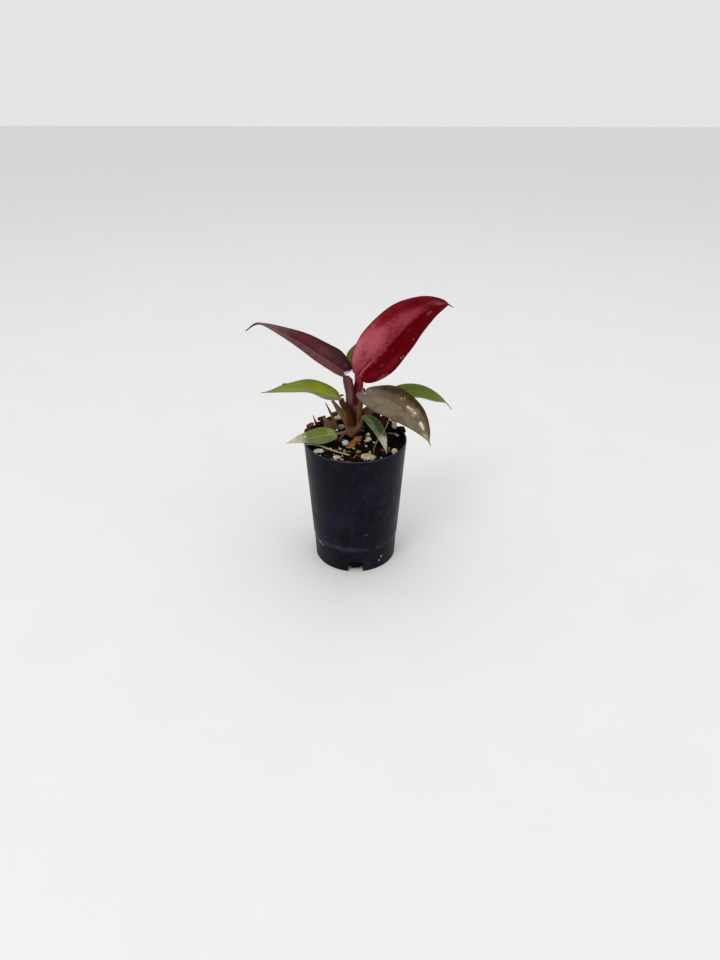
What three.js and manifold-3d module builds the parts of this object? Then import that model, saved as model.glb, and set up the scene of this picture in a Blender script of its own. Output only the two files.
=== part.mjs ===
// A young red philodendron in a thin black nursery pot.
// Millimetres, +Z up. The origin is the centre of the pot's foot, on the surface it stands on.
// The plant is seen best from -Y: the red leaf leans to +X and the maroon leaf to -X.

import * as THREE from 'three';
import { mergeVertices } from 'three/addons/utils/BufferGeometryUtils.js';
import Module from 'manifold-3d';

const wasm = await Module();
wasm.setup();

// Pot
const POT_HEIGHT = 92.5;
const RIM_RADIUS = 35;
const FOOT_RADIUS = 29.2;
const WALL = 1.1;
const STEP_HEIGHT = 20;
const STEP_DEPTH = 0.4;
const FLOOR_BOTTOM = 3;
const FLOOR_TOP = 4.2;
const DRAIN_WIDTH = 11;
const DRAIN_HEIGHT = 8.5;
const DRAIN_COUNT = 4;
const POT_SIDES = 48;

// Soil
const SOIL_FRONT = 86.6;
const SOIL_RISE = 5.2;
const MOUND_HEIGHT = 2.2;
const MOUND_RADIUS = 9;
const SOIL_DIP = 2.6;
const HEAP_HEIGHT = 3;
const CLOD_HEIGHT = 1.5;
const CLOD_SIZE = 4.2;
const SOIL_RINGS = 10;
const SOIL_SIDES = 36;

// Stem, where it leaves the soil
const STEM_X = -2.5;
const STEM_Y = 10;
const STEM_BURIED_TO = 76;

// The clearance kept between pieces that touch, and the thickness of a blade
const GAP = 0.3;
const BLADE = 0.7;
const RIB = 0.7;
const THREAD = 0.4;

// How far along a blade its base lobes fade out, the share of its width where it joins its stalk,
// and how far out of step the waves of its two edges are
const LOBE_REACH = 0.16;
const BASE_SHARE = 0.06;
const WAVE_OFFSET = 1.7;

const group = new THREE.Group();
const colours = {
  pot: [0x15151d, 0.42],
  soil: [0x1c1714, 0.95],
  stem: [0x54333a, 0.6],
  red: [0x8e1230, 0.35],
  redStalk: [0x8a1a34, 0.45],
  maroon: [0x4c2029, 0.4],
  maroonStalk: [0x5d3140, 0.5],
  bronze: [0x5f564a, 0.4],
  oliveStalk: [0x5e4a2c, 0.5],
  lime: [0x7f8f23, 0.45],
  brownSheath: [0x6e4426, 0.55],
  green: [0x4a7a1f, 0.45],
  rosyStalk: [0x7b3438, 0.5],
  olive: [0x6d7030, 0.5],
  deepGreen: [0x3f6238, 0.5],
  paleGreen: [0x64854a, 0.5],
  dryMauve: [0x84685c, 0.85],
  dryBrown: [0x9a6436, 0.85],
  straw: [0xc9b48c, 0.85],
  pumice: [0xe6dfd2, 0.95],
  bark: [0x5a2b1b, 0.9],
};

function addMesh(name, geometry, colourName) {
  const [color, roughness] = colours[colourName];
  const material = new THREE.MeshStandardMaterial({ color, roughness, metalness: 0 });
  const mesh = new THREE.Mesh(geometry, material);
  mesh.name = name;
  group.add(mesh);
}

// Closed solids

function bareGeometry(positions, indices) {
  const geometry = new THREE.BufferGeometry();
  geometry.setAttribute('position', new THREE.Float32BufferAttribute(positions, 3));
  geometry.setIndex(indices);
  return geometry;
}

function signedVolume(positions, indices) {
  const [a, b, c] = [new THREE.Vector3(), new THREE.Vector3(), new THREE.Vector3()];
  let volume = 0;
  for (let i = 0; i < indices.length; i += 3) {
    a.fromArray(positions, indices[i] * 3);
    b.fromArray(positions, indices[i + 1] * 3);
    c.fromArray(positions, indices[i + 2] * 3);
    volume += a.dot(b.cross(c));
  }
  return volume / 6;
}

// Skins a row of rings, each with the same even number of points, and closes both ends.
// Point k of a ring lies opposite point count - 1 - k, and both sides are split alike.
function loft(rings) {
  const count = rings[0].length;
  const half = count / 2;
  const positions = rings.flat().flatMap((point) => [point.x, point.y, point.z]);
  const indices = [];
  for (let i = 0; i < rings.length - 1; i++) {
    for (let k = 0; k < count; k++) {
      const a = i * count + k;
      const b = i * count + (k + 1) % count;
      const c = b + count;
      const d = a + count;
      if (k < half) indices.push(a, b, c, a, c, d);
      else indices.push(a, b, d, b, c, d);
    }
  }
  for (const [start, flip] of [[0, false], [(rings.length - 1) * count, true]]) {
    for (let k = 0; k < half - 1; k++) {
      const quad = [k, k + 1, count - 2 - k, count - 1 - k].map((n) => n + start);
      const faces = [quad[0], quad[2], quad[1], quad[0], quad[3], quad[2]];
      indices.push(...(flip ? faces.reverse() : faces));
    }
  }
  if (signedVolume(positions, indices) < 0) indices.reverse();
  return bareGeometry(positions, indices);
}

function toSolid(geometry) {
  const bare = new THREE.BufferGeometry();
  bare.setAttribute('position', geometry.getAttribute('position'));
  bare.setIndex(geometry.index);
  const merged = mergeVertices(bare, 1e-4);
  const mesh = new wasm.Mesh({
    numProp: 3,
    vertProperties: new Float32Array(merged.getAttribute('position').array),
    triVerts: new Uint32Array(merged.index.array),
  });
  return new wasm.Manifold(mesh);
}

function toGeometry(solid) {
  const mesh = solid.getMesh();
  return bareGeometry(Array.from(mesh.vertProperties), Array.from(mesh.triVerts));
}

// Cuts away what the neighbours, swollen by the clearance, would share, and drops loose scraps.
function carve(geometry, neighbours) {
  let solid = toSolid(geometry);
  for (const neighbour of neighbours) solid = solid.subtract(toSolid(neighbour));
  const pieces = solid.decompose();
  pieces.sort((a, b) => b.volume() - a.volume());
  return toGeometry(pieces[0]);
}

function fuse(geometries) {
  return toGeometry(geometries.map(toSolid).reduce((whole, part) => whole.add(part)));
}

// Curves and numbers that run smoothly through a few given ones

function curveThrough(points) {
  return new THREE.CatmullRomCurve3(points.map((p) => new THREE.Vector3(...p)), false, 'catmullrom', 0.5);
}

function smoothList(values, t) {
  const x = Math.min(t, 0.9999) * (values.length - 1);
  const i = Math.floor(x);
  const w = x - i;
  const ease = w * w * (3 - 2 * w);
  return values[i] + (values[i + 1] - values[i]) * ease;
}

function smoothstep(low, high, x) {
  return THREE.MathUtils.smoothstep(x, low, high);
}

// A repeatable pseudo-random value between 0 and 1 for a place or a count.
function hash(a, b = 0, c = 0) {
  const s = Math.sin(a * 127.1 + b * 311.7 + c * 74.7) * 43758.5453;
  return s - Math.floor(s);
}

function noise(x, y, seed = 0) {
  const [i, j] = [Math.floor(x), Math.floor(y)];
  const [u, v] = [x - i, y - j].map((w) => w * w * (3 - 2 * w));
  const low = THREE.MathUtils.lerp(hash(i, j, seed), hash(i + 1, j, seed), u);
  const high = THREE.MathUtils.lerp(hash(i, j + 1, seed), hash(i + 1, j + 1, seed), u);
  return THREE.MathUtils.lerp(low, high, v);
}

// Pot: a tapered wall, a faint step low down, a raised floor and drain slots at the foot

function outerRadius(z) {
  return FOOT_RADIUS + (RIM_RADIUS - FOOT_RADIUS) * z / POT_HEIGHT;
}

function innerRadius(z) {
  return outerRadius(z) - WALL - (z < STEP_HEIGHT ? STEP_DEPTH : 0);
}

function potGeometry() {
  const profile = [
    [0, FLOOR_BOTTOM],
    [FOOT_RADIUS - WALL - 1, FLOOR_BOTTOM],
    [FOOT_RADIUS - WALL, 0],
    [FOOT_RADIUS, 0],
    [outerRadius(STEP_HEIGHT) - STEP_DEPTH, STEP_HEIGHT - STEP_DEPTH],
    [outerRadius(STEP_HEIGHT), STEP_HEIGHT],
    [RIM_RADIUS - 0.1, POT_HEIGHT - 0.3],
    [RIM_RADIUS - 0.4, POT_HEIGHT],
    [RIM_RADIUS - WALL, POT_HEIGHT],
    [innerRadius(STEP_HEIGHT), STEP_HEIGHT],
    [innerRadius(STEP_HEIGHT) - STEP_DEPTH, STEP_HEIGHT - STEP_DEPTH],
    [FOOT_RADIUS - WALL - 1, FLOOR_TOP + 2],
    [FOOT_RADIUS - WALL - 3, FLOOR_TOP],
    [0, FLOOR_TOP],
  ];
  const outline = profile.map(([r, z]) => new THREE.Vector2(r, z));
  const body = new THREE.LatheGeometry(outline, POT_SIDES);
  body.rotateX(Math.PI / 2);
  return carve(body, drainSlots());
}

// Each slot is a rounded arch that passes through the foot of the wall and under the floor's edge.
function drainSlots() {
  const arch = new THREE.Shape();
  const side = DRAIN_WIDTH / 2;
  const round = 2;
  arch.moveTo(-side, -1);
  arch.lineTo(side, -1);
  arch.lineTo(side - 0.8, DRAIN_HEIGHT - round);
  arch.lineTo(side - 0.8 - round, DRAIN_HEIGHT);
  arch.lineTo(-side + 0.8 + round, DRAIN_HEIGHT);
  arch.lineTo(-side + 0.8, DRAIN_HEIGHT - round);
  arch.closePath();
  const slots = [];
  for (let i = 0; i < DRAIN_COUNT; i++) {
    const slot = new THREE.ExtrudeGeometry(arch, { depth: 8, bevelEnabled: false });
    slot.rotateX(Math.PI / 2);
    slot.translate(0, -FOOT_RADIUS + 6, 0);
    slot.rotateZ(i * 2 * Math.PI / DRAIN_COUNT);
    slots.push(slot);
  }
  return slots;
}

// Soil: fills the pot, heaped along the back wall and round the stem, lower by the right wall

function soilHeight(x, y) {
  const rise = SOIL_RISE * smoothstep(-8, 30, y);
  const away = Math.hypot(x - STEM_X, y - STEM_Y) / MOUND_RADIUS;
  const mound = MOUND_HEIGHT * Math.exp(-away * away);
  const heap = HEAP_HEIGHT * smoothstep(20, 31, Math.hypot(x, y)) * smoothstep(2, 20, y);
  const dip = SOIL_DIP * smoothstep(20, 33, x) * (1 - smoothstep(0, 18, y));
  const clods = CLOD_HEIGHT * (noise(x / CLOD_SIZE + 20, y / CLOD_SIZE + 20) - 0.5);
  return SOIL_FRONT + rise + mound + heap - dip + clods;
}

function ringAt(radius, height) {
  const ring = [];
  for (let k = 0; k < SOIL_SIDES; k++) {
    const angle = (k + 0.5) * 2 * Math.PI / SOIL_SIDES;
    const x = radius * Math.cos(angle);
    const y = radius * Math.sin(angle);
    ring.push(new THREE.Vector3(x, y, height(x, y)));
  }
  return ring;
}

function soilGeometry(holes) {
  const facetSlack = 1 / Math.cos(Math.PI / POT_SIDES) - 1;
  const inside = (z) => innerRadius(z) * (1 - facetSlack) - GAP;
  const floorRadius = FOOT_RADIUS - WALL - 3;
  const rings = [
    ringAt(floorRadius - GAP, () => FLOOR_TOP + GAP),
    ringAt(inside(10) - 0.5, () => 10),
    ringAt(inside(STEP_HEIGHT + 1), () => STEP_HEIGHT + 1),
  ];
  const edge = inside(SOIL_FRONT);
  for (let i = 0; i < SOIL_RINGS; i++) rings.push(ringAt(edge * (1 - i / SOIL_RINGS), soilHeight));
  rings.push(ringAt(0.8, soilHeight));
  return carve(loft(rings), holes);
}

// Blades: a spine, a width that swells and tapers, a fold along the rib and a roll about it

function bladeWidth(t, leaf) {
  if (t < leaf.widest) {
    const x = 1 - t / leaf.widest;
    return leaf.half * (BASE_SHARE + (1 - BASE_SHARE) * Math.sqrt(1 - x * x));
  }
  const x = Math.min((t - leaf.widest) / (leaf.end - leaf.widest), 1);
  return leaf.half * (1 - Math.pow(x, leaf.taper));
}

function bladePoint(leaf, curve, t, v) {
  const centre = curve.getPointAt(t);
  const along = curve.getTangentAt(t);
  const flatSide = new THREE.Vector3(along.y, -along.x, 0).normalize();
  const flatUp = new THREE.Vector3().crossVectors(flatSide, along);
  const roll = THREE.MathUtils.degToRad(THREE.MathUtils.lerp(leaf.roll[0], leaf.roll[1], t));
  const fold = THREE.MathUtils.degToRad(leaf.fold);
  const side = flatSide.clone().multiplyScalar(Math.cos(roll)).addScaledVector(flatUp, Math.sin(roll));
  const up = flatUp.clone().multiplyScalar(Math.cos(roll)).addScaledVector(flatSide, -Math.sin(roll));
  const width = Math.max(bladeWidth(t, leaf), THREAD);
  const out = Math.abs(v) * width;
  const phase = 2 * Math.PI * leaf.waves * t + (v > 0 ? WAVE_OFFSET : 0);
  const wave = leaf.wave * v * v * Math.sin(phase) * width / leaf.half;
  const back = leaf.lobe * Math.sin(Math.PI * Math.min(out / leaf.half, 1)) * Math.exp(-t / LOBE_REACH);
  return centre
    .addScaledVector(side, Math.sign(v) * out * Math.cos(fold))
    .addScaledVector(up, out * Math.sin(fold) + wave)
    .addScaledVector(curve.getTangentAt(0), -back);
}

function bladeGeometry(leaf, grow = 0) {
  const curve = curveThrough(leaf.spine);
  const grid = [];
  for (let i = 0; i <= leaf.rows; i++) {
    const t = 0.5 - 0.5 * Math.cos(Math.PI * i / leaf.rows);
    const row = [];
    for (let j = 0; j <= leaf.columns; j++) {
      const x = 2 * j / leaf.columns - 1;
      row.push(bladePoint(leaf, curve, t, Math.sign(x) * Math.pow(Math.abs(x), 1.15)));
    }
    grid.push(row);
  }
  const normalAt = (i, j) => {
    const rowOf = (n) => grid[THREE.MathUtils.clamp(n, 0, leaf.rows)];
    const columnOf = (n) => THREE.MathUtils.clamp(n, 0, leaf.columns);
    const down = new THREE.Vector3().subVectors(rowOf(i + 1)[j], rowOf(i - 1)[j]);
    const across = new THREE.Vector3().subVectors(grid[i][columnOf(j + 1)], grid[i][columnOf(j - 1)]);
    return across.cross(down).normalize();
  };
  const rings = grid.map((row, i) => {
    const above = row.map((point, j) => point.clone().addScaledVector(normalAt(i, j), grow));
    const below = row.map((point, j) => {
      const fromRib = Math.abs(2 * j / leaf.columns - 1);
      const rib = RIB * Math.max(0, 1 - fromRib * 3) * (1 - i / leaf.rows);
      return point.clone().addScaledVector(normalAt(i, j), -BLADE - rib - grow);
    });
    return [...above, ...below.reverse()];
  });
  return loft(rings);
}

const leaves = {
  leaf_red: {
    spine: [[3, 10, 133.7], [7.2, 12.9, 137.8], [15.4, 15.8, 145.4], [25, 18.6, 155.8],
      [34.4, 21.5, 164.7], [45.3, 24.5, 171.8], [54.2, 27.2, 174.9], [60.1, 30.1, 175.2],
      [64.9, 33.2, 172.4]],
    half: 18.5, widest: 0.29, end: 0.95, taper: 2.16, fold: 30, roll: [-57, -40], lobe: 3.9,
    wave: 0.5, waves: 2.3, rows: 18, columns: 8, colour: 'red',
  },
  leaf_maroon: {
    spine: [[-6.4, 8, 135.8], [-13.3, 7.2, 141], [-22.6, 6.4, 147.9], [-34.1, 5.6, 156.3],
      [-46, 4.9, 163.7], [-56.1, 4.1, 169.2], [-62.1, 3.3, 170.3], [-68.7, 2.5, 166.2]],
    half: 12.7, widest: 0.15, end: 0.88, taper: 1.4, fold: 21, roll: [24, 23], lobe: 4.3,
    wave: 0.4, waves: 2, rows: 18, columns: 8, colour: 'maroon',
  },
  leaf_green_left: {
    spine: [[-10.4, 6, 120.1], [-16.4, 2.9, 122.4], [-24.9, -0.2, 126], [-33.1, -3.3, 129.3],
      [-42.2, -6.3, 130.3], [-51.1, -9.4, 130.3], [-59.9, -12.5, 130.9]],
    half: 10.5, widest: 0.26, end: 0.97, taper: 1.48, fold: 16, roll: [18, 0], lobe: 0.5,
    wave: 0.5, waves: 2.6, rows: 15, columns: 6, colour: 'lime',
  },
  leaf_bronze: {
    spine: [[6.6, 4, 124.8], [13.2, -2.3, 125.1], [21.8, -8.6, 123.7], [30.3, -14.9, 120.4],
      [37.7, -21.3, 116.8], [43.6, -27.6, 111], [47.5, -33.9, 103.9]],
    half: 16, widest: 0.32, end: 0.96, taper: 1.38, fold: 3, roll: [-2, -24], lobe: 3.5,
    wave: 0.5, waves: 2, rows: 18, columns: 8, colour: 'bronze',
  },
  leaf_green_right: {
    spine: [[20.7, 22, 110.7], [30.7, 23.2, 115], [41, 24.4, 115.6], [52.1, 25.6, 112.3],
      [62.6, 26.8, 107.6], [68.8, 28, 100.7]],
    half: 9.9, widest: 0.39, end: 0.88, taper: 2.08, fold: 8, roll: [-4, -14], lobe: 2,
    wave: 0.4, waves: 2, rows: 15, columns: 6, colour: 'green',
  },
  leaf_olive: {
    spine: [[0.6, 18.6, 134.3], [0.5, 21.1, 139.7], [3.9, 25.1, 145.1], [9.9, 29.6, 149],
      [15.7, 33, 150.2]],
    half: 7.2, widest: 0.27, end: 0.94, taper: 1.49, fold: 13, roll: [-30, -30], lobe: 1.5,
    wave: 0.4, waves: 2, rows: 14, columns: 6, colour: 'olive',
  },
  leaf_small_front: {
    spine: [[5.6, 3.4, 107.2], [10.8, -1.9, 105.5], [14.8, -7.9, 101.5], [18.1, -13.8, 97.2],
      [20.7, -19.7, 90.8]],
    half: 6.4, widest: 0.36, end: 0.98, taper: 1.54, fold: 10, roll: [10, 28], lobe: 0.5,
    wave: 0.3, waves: 2, rows: 12, columns: 6, colour: 'deepGreen',
  },
  leaf_small_left: {
    spine: [[-13.7, 1.2, 94.7], [-20.9, -2.8, 95.4], [-28.2, -5.6, 95.1], [-36.3, -8, 95.4],
      [-46.2, -10.2, 93.6]],
    half: 7.2, widest: 0.3, end: 0.98, taper: 1.5, fold: 10, roll: [26, 17], lobe: 1.2,
    wave: 0.3, waves: 2, rows: 12, columns: 6, colour: 'paleGreen',
  },
};

// Stalks: a round or flattened section along a path, with a shallow groove where one is given

function stalkGeometry(stalk, grow = 0) {
  const curve = curveThrough(stalk.path);
  const length = curve.getLength();
  const facing = new THREE.Vector3(...(stalk.facing ?? [0, -1, 0]));
  const rings = [];
  for (let i = 0; i <= stalk.steps; i++) {
    const t = i / stalk.steps;
    const along = curve.getTangentAt(t);
    const centre = curve.getPointAt(t);
    if (i === 0) centre.addScaledVector(along, -grow);
    if (i === stalk.steps) centre.addScaledVector(along, grow);
    const front = facing.clone().addScaledVector(along, -facing.dot(along)).normalize();
    const side = new THREE.Vector3().crossVectors(along, front);
    const radius = smoothList(stalk.radii, t);
    const bulge = (stalk.rings ?? 0) * Math.max(0, Math.cos(length * t * 2 * Math.PI / 6) - 0.6);
    const ring = [];
    for (let k = 0; k < stalk.sides; k++) {
      const angle = (k + 0.5) * 2 * Math.PI / stalk.sides;
      const groove = 1 - (stalk.groove ?? 0) * Math.max(0, Math.cos(angle)) ** 4;
      const reach = (radius + bulge) * groove + grow;
      ring.push(centre.clone()
        .addScaledVector(front, reach * Math.cos(angle) * (stalk.flat ?? 1))
        .addScaledVector(side, reach * Math.sin(angle)));
    }
    rings.push(ring);
  }
  return loft(rings);
}

// Sheaths: thin arcs in plan, from one angle to another, that clasp the stem and lean off it.
// Each section holds height, centre x, centre y, inner radius, thickness, first angle, last angle.
function sheathGeometry(sheath, grow = 0) {
  const rings = [];
  for (let i = 0; i <= sheath.steps; i++) {
    const t = i / sheath.steps;
    const value = (n) => smoothList(sheath.sections.map((section) => section[n]), t);
    const ends = i === 0 ? -grow : i === sheath.steps ? grow : 0;
    const [z, x, y, radius, thick] = [0, 1, 2, 3, 4].map(value);
    const spread = THREE.MathUtils.radToDeg(grow / (radius + thick / 2));
    const first = value(5) - spread;
    const last = value(6) + spread;
    const arc = (r) => {
      const points = [];
      for (let k = 0; k <= sheath.arcs; k++) {
        const angle = THREE.MathUtils.degToRad(THREE.MathUtils.lerp(first, last, k / sheath.arcs));
        points.push(new THREE.Vector3(x + r * Math.cos(angle), y + r * Math.sin(angle), z + ends));
      }
      return points;
    };
    rings.push([...arc(radius + thick + grow), ...arc(Math.max(radius - grow, 0.1)).reverse()]);
  }
  return loft(rings);
}

const stem = {
  path: [[STEM_X, STEM_Y, STEM_BURIED_TO], [STEM_X, STEM_Y, 92], [-2, 9.7, 102], [-0.8, 9.8, 112]],
  radii: [3.2, 4.6, 4.1, 3.2], sides: 14, steps: 14, rings: 0.6,
};

const roots = [
  { path: [[-5, 8, 93.5], [-10, 3.5, 90.5], [-12, 0, 85]], radii: [0.9, 0.7, 0.5], sides: 6, steps: 6 },
  { path: [[0.5, 9.5, 92.8], [6, 12.6, 91.4], [10, 15.4, 85]], radii: [0.9, 0.7, 0.5], sides: 6, steps: 6 },
];

const sheaths = {
  sheath_green_left: {
    sections: [
      [99, STEM_X, STEM_Y, 5, 0.9, 215, 290],
      [104, -2.2, 9.8, 5.1, 0.9, 205, 303],
      [109, -2.8, 9.5, 5.2, 0.9, 195, 300],
      [114, -4.9, 9, 5, 0.9, 180, 280],
      [117.6, -8, 7.6, 2.3, 1.1, 170, 285],
      [119.4, -9.6, 6.5, 0.5, 1.2, 120, 330],
    ],
    arcs: 7, steps: 12, colour: 'brownSheath',
  },
  sheath_maroon: {
    sections: [
      [104.5, -1.7, 9.7, 4.5, 0.8, 165, 262],
      [112, -1.5, 9.4, 4, 0.8, 160, 268],
      [121, -2.9, 8.4, 2.7, 0.8, 140, 315],
      [129, -4.2, 8.2, 2.9, 0.8, 140, 325],
      [132.6, -5.2, 8.2, 2.1, 0.9, 130, 320],
      [134.8, -6.6, 8.1, 0.5, 0.9, 110, 310],
    ],
    arcs: 7, steps: 12, colour: 'maroonStalk',
  },
};

const stalks = {
  stalk_red: {
    path: [[-0.5, 10.1, 112.9], [1.6, 10.3, 122], [3.2, 10, 133.2]],
    radii: [3.1, 3.4, 2.6], flat: 0.8, groove: 0.45, sides: 12, steps: 8, colour: 'redStalk',
  },
  stalk_bronze: {
    path: [[1.6, 7.6, 100.5], [2.4, 6.4, 108], [3.6, 5.6, 115], [5.3, 4.7, 120.6], [6.4, 4.2, 124]],
    radii: [2.3, 2.2, 2, 1.6, 1.4], sides: 10, steps: 9, colour: 'oliveStalk',
  },
  stalk_green_right: {
    path: [[1, 10.4, 98.5], [7.2, 11.8, 104.8], [14, 15.2, 108.4], [20.2, 21.6, 110.2]],
    radii: [2.4, 2.9, 2, 1.2], sides: 8, steps: 9, colour: 'rosyStalk',
  },
  stalk_olive: {
    path: [[-1, 13.2, 103], [0.4, 15, 112], [1, 15.9, 123], [0.8, 17.8, 133.9]],
    radii: [1.9, 1.7, 1.5, 1.2], sides: 8, steps: 8, colour: 'olive',
  },
  stalk_small_front: {
    path: [[-0.6, 7, 93.8], [3, 4.9, 99], [4.6, 4, 103.6], [5.4, 3.6, 106.7]],
    radii: [2.3, 2, 1.3, 0.9], sides: 8, steps: 8, colour: 'rosyStalk',
  },
  stalk_small_left: {
    path: [[-6, 9, 92.3], [-9.6, 5.6, 93.1], [-13.4, 1.5, 94.3]],
    radii: [1.2, 1.1, 0.9], sides: 8, steps: 6, colour: 'dryMauve',
  },
  bare_stalk: {
    path: [[-6.2, 12.8, 97.5], [-10.4, 13.4, 105.6], [-15.6, 13, 114.2]],
    radii: [1.6, 2, 1.1], flat: 0.5, sides: 8, steps: 7, colour: 'dryMauve',
  },
};

// Dry, split sheaths of shed leaves beside the crown

const drySheath = [
  {
    path: [[-13, 15, 87], [-14.6, 14.8, 97], [-17.4, 15.4, 104.6], [-20.4, 16, 111]],
    radii: [1.5, 1.4, 0.8, 0.35], flat: 0.6, sides: 8, steps: 8,
  },
  {
    path: [[-14.5, 13.6, 87.5], [-17.6, 13, 94.5], [-21.6, 13, 101.4]],
    radii: [2.4, 4, 0.8], flat: 0.3, sides: 10, steps: 7,
  },
];

const rimSplinter = {
  path: [[-26, 18.5, 88], [-27.6, 19, 94], [-29.6, 19.4, 100]],
  radii: [1.1, 0.8, 0.3], flat: 0.5, sides: 6, steps: 5,
};

// Loose pieces on the soil

// A lump holds x, y, its three radii, how far its middle stands above the soil, and a turn in degrees.
const lumps = {
  pumice_oval: [-24.6, -9.6, 3.7, 2.5, 1.7, 0.5, 10],
  pumice_front: [-12.2, -19, 2.8, 2.5, 1.6, 0.4, 0],
  pumice_centre: [-6.6, -0.8, 2.5, 2.3, 2.2, 0.6, 30],
  pumice_pair: [8.6, 4.4, 2.9, 2.3, 1.9, 0.7, 20],
  pumice_pair_small: [9, 10, 1.6, 1.5, 1.5, 0.6, 0],
  pumice_small: [-17.1, -7.1, 1.7, 1.4, 1.2, 0.4, 0],
  pumice_shard: [8.7, -18.6, 5.7, 4, 2.1, 0.5, -15],
  pumice_right: [26.6, -8.6, 2.3, 3, 2.5, 0.8, 0],
  pumice_back_right: [27.3, 14.8, 1.9, 1.9, 2.9, 2.3, 20],
  pumice_edge_right: [28.9, 9.3, 1.8, 1.4, 1.1, 0.5, 0],
  pumice_back_left: [-12.7, 25.6, 2.5, 2, 1.5, 0.9, 0],
  pumice_green: [-9.6, 18, 2.6, 2.2, 2, 0.8, 0],
  pumice_moss_front: [2.2, -11.2, 2.2, 2.2, 1.1, 0.5, 0],
  pumice_moss_left: [-5.6, -11.4, 3.2, 1.9, 1.1, 0.5, 12],
};

// A chip holds x, y, length, width, thickness, rise above the soil, and turns about Z and Y in degrees.
const chips = {
  bark_back_right: [19.6, 18.2, 8.5, 4.5, 4.5, 2, 50, 55],
  bark_front_right: [20.4, -10.2, 6.6, 5, 2, 0.6, 20, 12],
  bark_front_small: [12.7, -10.6, 4.2, 2.8, 1.6, 0.7, -30, 15],
  bark_left: [-24.4, 12.4, 6, 4.2, 2.8, 1.2, 62, 14],
  bark_back_left: [-20, 20.8, 6, 4, 2.4, 1.2, 45, -14],
  bark_back: [-3.6, 26.8, 6.5, 4, 2.4, 1, 5, 10],
  bark_rim_left: [-32.2, 6.2, 6, 4, 3.2, 6, 78, 4],
  bark_rim_far_left: [-31, 13.9, 6, 3.6, 3.2, 2.8, 62, -4],
  bark_rim_back_left: [-23.6, 24.2, 7.5, 3.8, 2.6, 1, 44, 6],
  bark_rim_back: [-14.6, 30.6, 7, 3.6, 2.6, 1, 26, -5],
  bark_rim_middle: [8.8, 31.7, 7.5, 3.6, 2.6, 1, -15, 5],
  bark_rim_back_middle: [15.4, 28.9, 6, 3.8, 3, 1.4, -28, 5],
  bark_rim_back_right: [21.8, 25.2, 6, 3.6, 2.8, 1.3, -42, 5],
  bark_rim_far_right: [28.2, 20.4, 6, 3.4, 2.6, 1.5, -54, 4],
  bark_rim_right: [32.6, 8.8, 7, 3.6, 2.4, 6.6, 107, -4],
};

function lumpGeometry([x, y, rx, ry, rz, rise, turn], grow = 0) {
  const ball = new THREE.IcosahedronGeometry(1, 1);
  ball.deleteAttribute('normal');
  ball.deleteAttribute('uv');
  const merged = mergeVertices(ball);
  const spot = merged.getAttribute('position');
  for (let i = 0; i < spot.count; i++) {
    const push = 0.84 + 0.32 * hash(i, x, y);
    const [sx, sy, sz] = [rx, ry, rz].map((radius) => radius * push + grow);
    spot.setXYZ(i, spot.getX(i) * sx, spot.getY(i) * sy, spot.getZ(i) * sz);
  }
  merged.rotateZ(THREE.MathUtils.degToRad(turn));
  merged.translate(x, y, soilHeight(x, y) + rise);
  return merged;
}

function chipGeometry([x, y, long, wide, thick, rise, turn, tilt], grow = 0) {
  const box = new THREE.BoxGeometry(long + 2 * grow, wide + 2 * grow, thick + 2 * grow, 3, 2, 1);
  box.deleteAttribute('normal');
  box.deleteAttribute('uv');
  const merged = mergeVertices(box);
  const spot = merged.getAttribute('position');
  for (let i = 0; i < spot.count; i++) {
    const jag = (n) => 1 + 0.3 * (hash(i, n, x) - 0.5);
    spot.setXYZ(i, spot.getX(i) * jag(1), spot.getY(i) * jag(2), spot.getZ(i) * jag(3));
  }
  merged.rotateY(THREE.MathUtils.degToRad(tilt));
  merged.rotateZ(THREE.MathUtils.degToRad(turn));
  merged.translate(x, y, soilHeight(x, y) + rise);
  return merged;
}

const dryScrap = {
  path: [[4.6, 6.2, 90], [1.6, 1.6, 90.6], [-1.6, -3.2, 89.6], [-4.6, -7.6, 87.9]],
  radii: [1, 2.1, 1.9, 0.8], flat: 0.26, facing: [0.4, -0.3, 1], sides: 10, steps: 8,
};

const strawStrip = {
  path: [[-34.4, -10.8, 93.2], [-31.4, -10.6, 93], [-24, -8.6, 90.9], [-16, -10.7, 88.7], [-4, -16.3, 87.7]],
  radii: [0.6, 0.7, 0.8, 0.8, 0.6], flat: 0.5, facing: [0, 0, 1], sides: 6, steps: 12,
};

const fibreRight = {
  path: [[21.6, 10.9, 90.4], [25.4, 10, 90.6], [28.6, 8.9, 90.8]],
  radii: [0.4, 0.4, 0.4], sides: 6, steps: 5,
};

const fibreArch = {
  path: [[23.5, 15, 100], [21.5, 4.5, 99.4], [19.5, -6.5, 102], [16.8, -16.5, 102.5],
    [14.6, -18.6, 99.9], [12.8, -16.3, 94], [12.2, -13, 87.2]],
  radii: [0.4, 0.4, 0.4], sides: 6, steps: 16,
};

// Build: what clasps the stem is cut clear of it, in turn from the middle outwards

const stemParts = (grow) => [stalkGeometry(stem, grow), ...roots.map((root) => stalkGeometry(root, grow))];
const crown = stemParts(GAP);
addMesh('stem', fuse(stemParts(0)), 'stem');
for (const [name, sheath] of Object.entries(sheaths)) {
  addMesh(name, carve(sheathGeometry(sheath), crown), sheath.colour);
  crown.push(sheathGeometry(sheath, GAP));
}
for (const [name, stalk] of Object.entries(stalks)) {
  addMesh(name, carve(stalkGeometry(stalk), crown), stalk.colour);
  crown.push(stalkGeometry(stalk, GAP));
}
for (const [name, leaf] of Object.entries(leaves)) {
  addMesh(name, carve(bladeGeometry(leaf), crown), leaf.colour);
}

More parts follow.
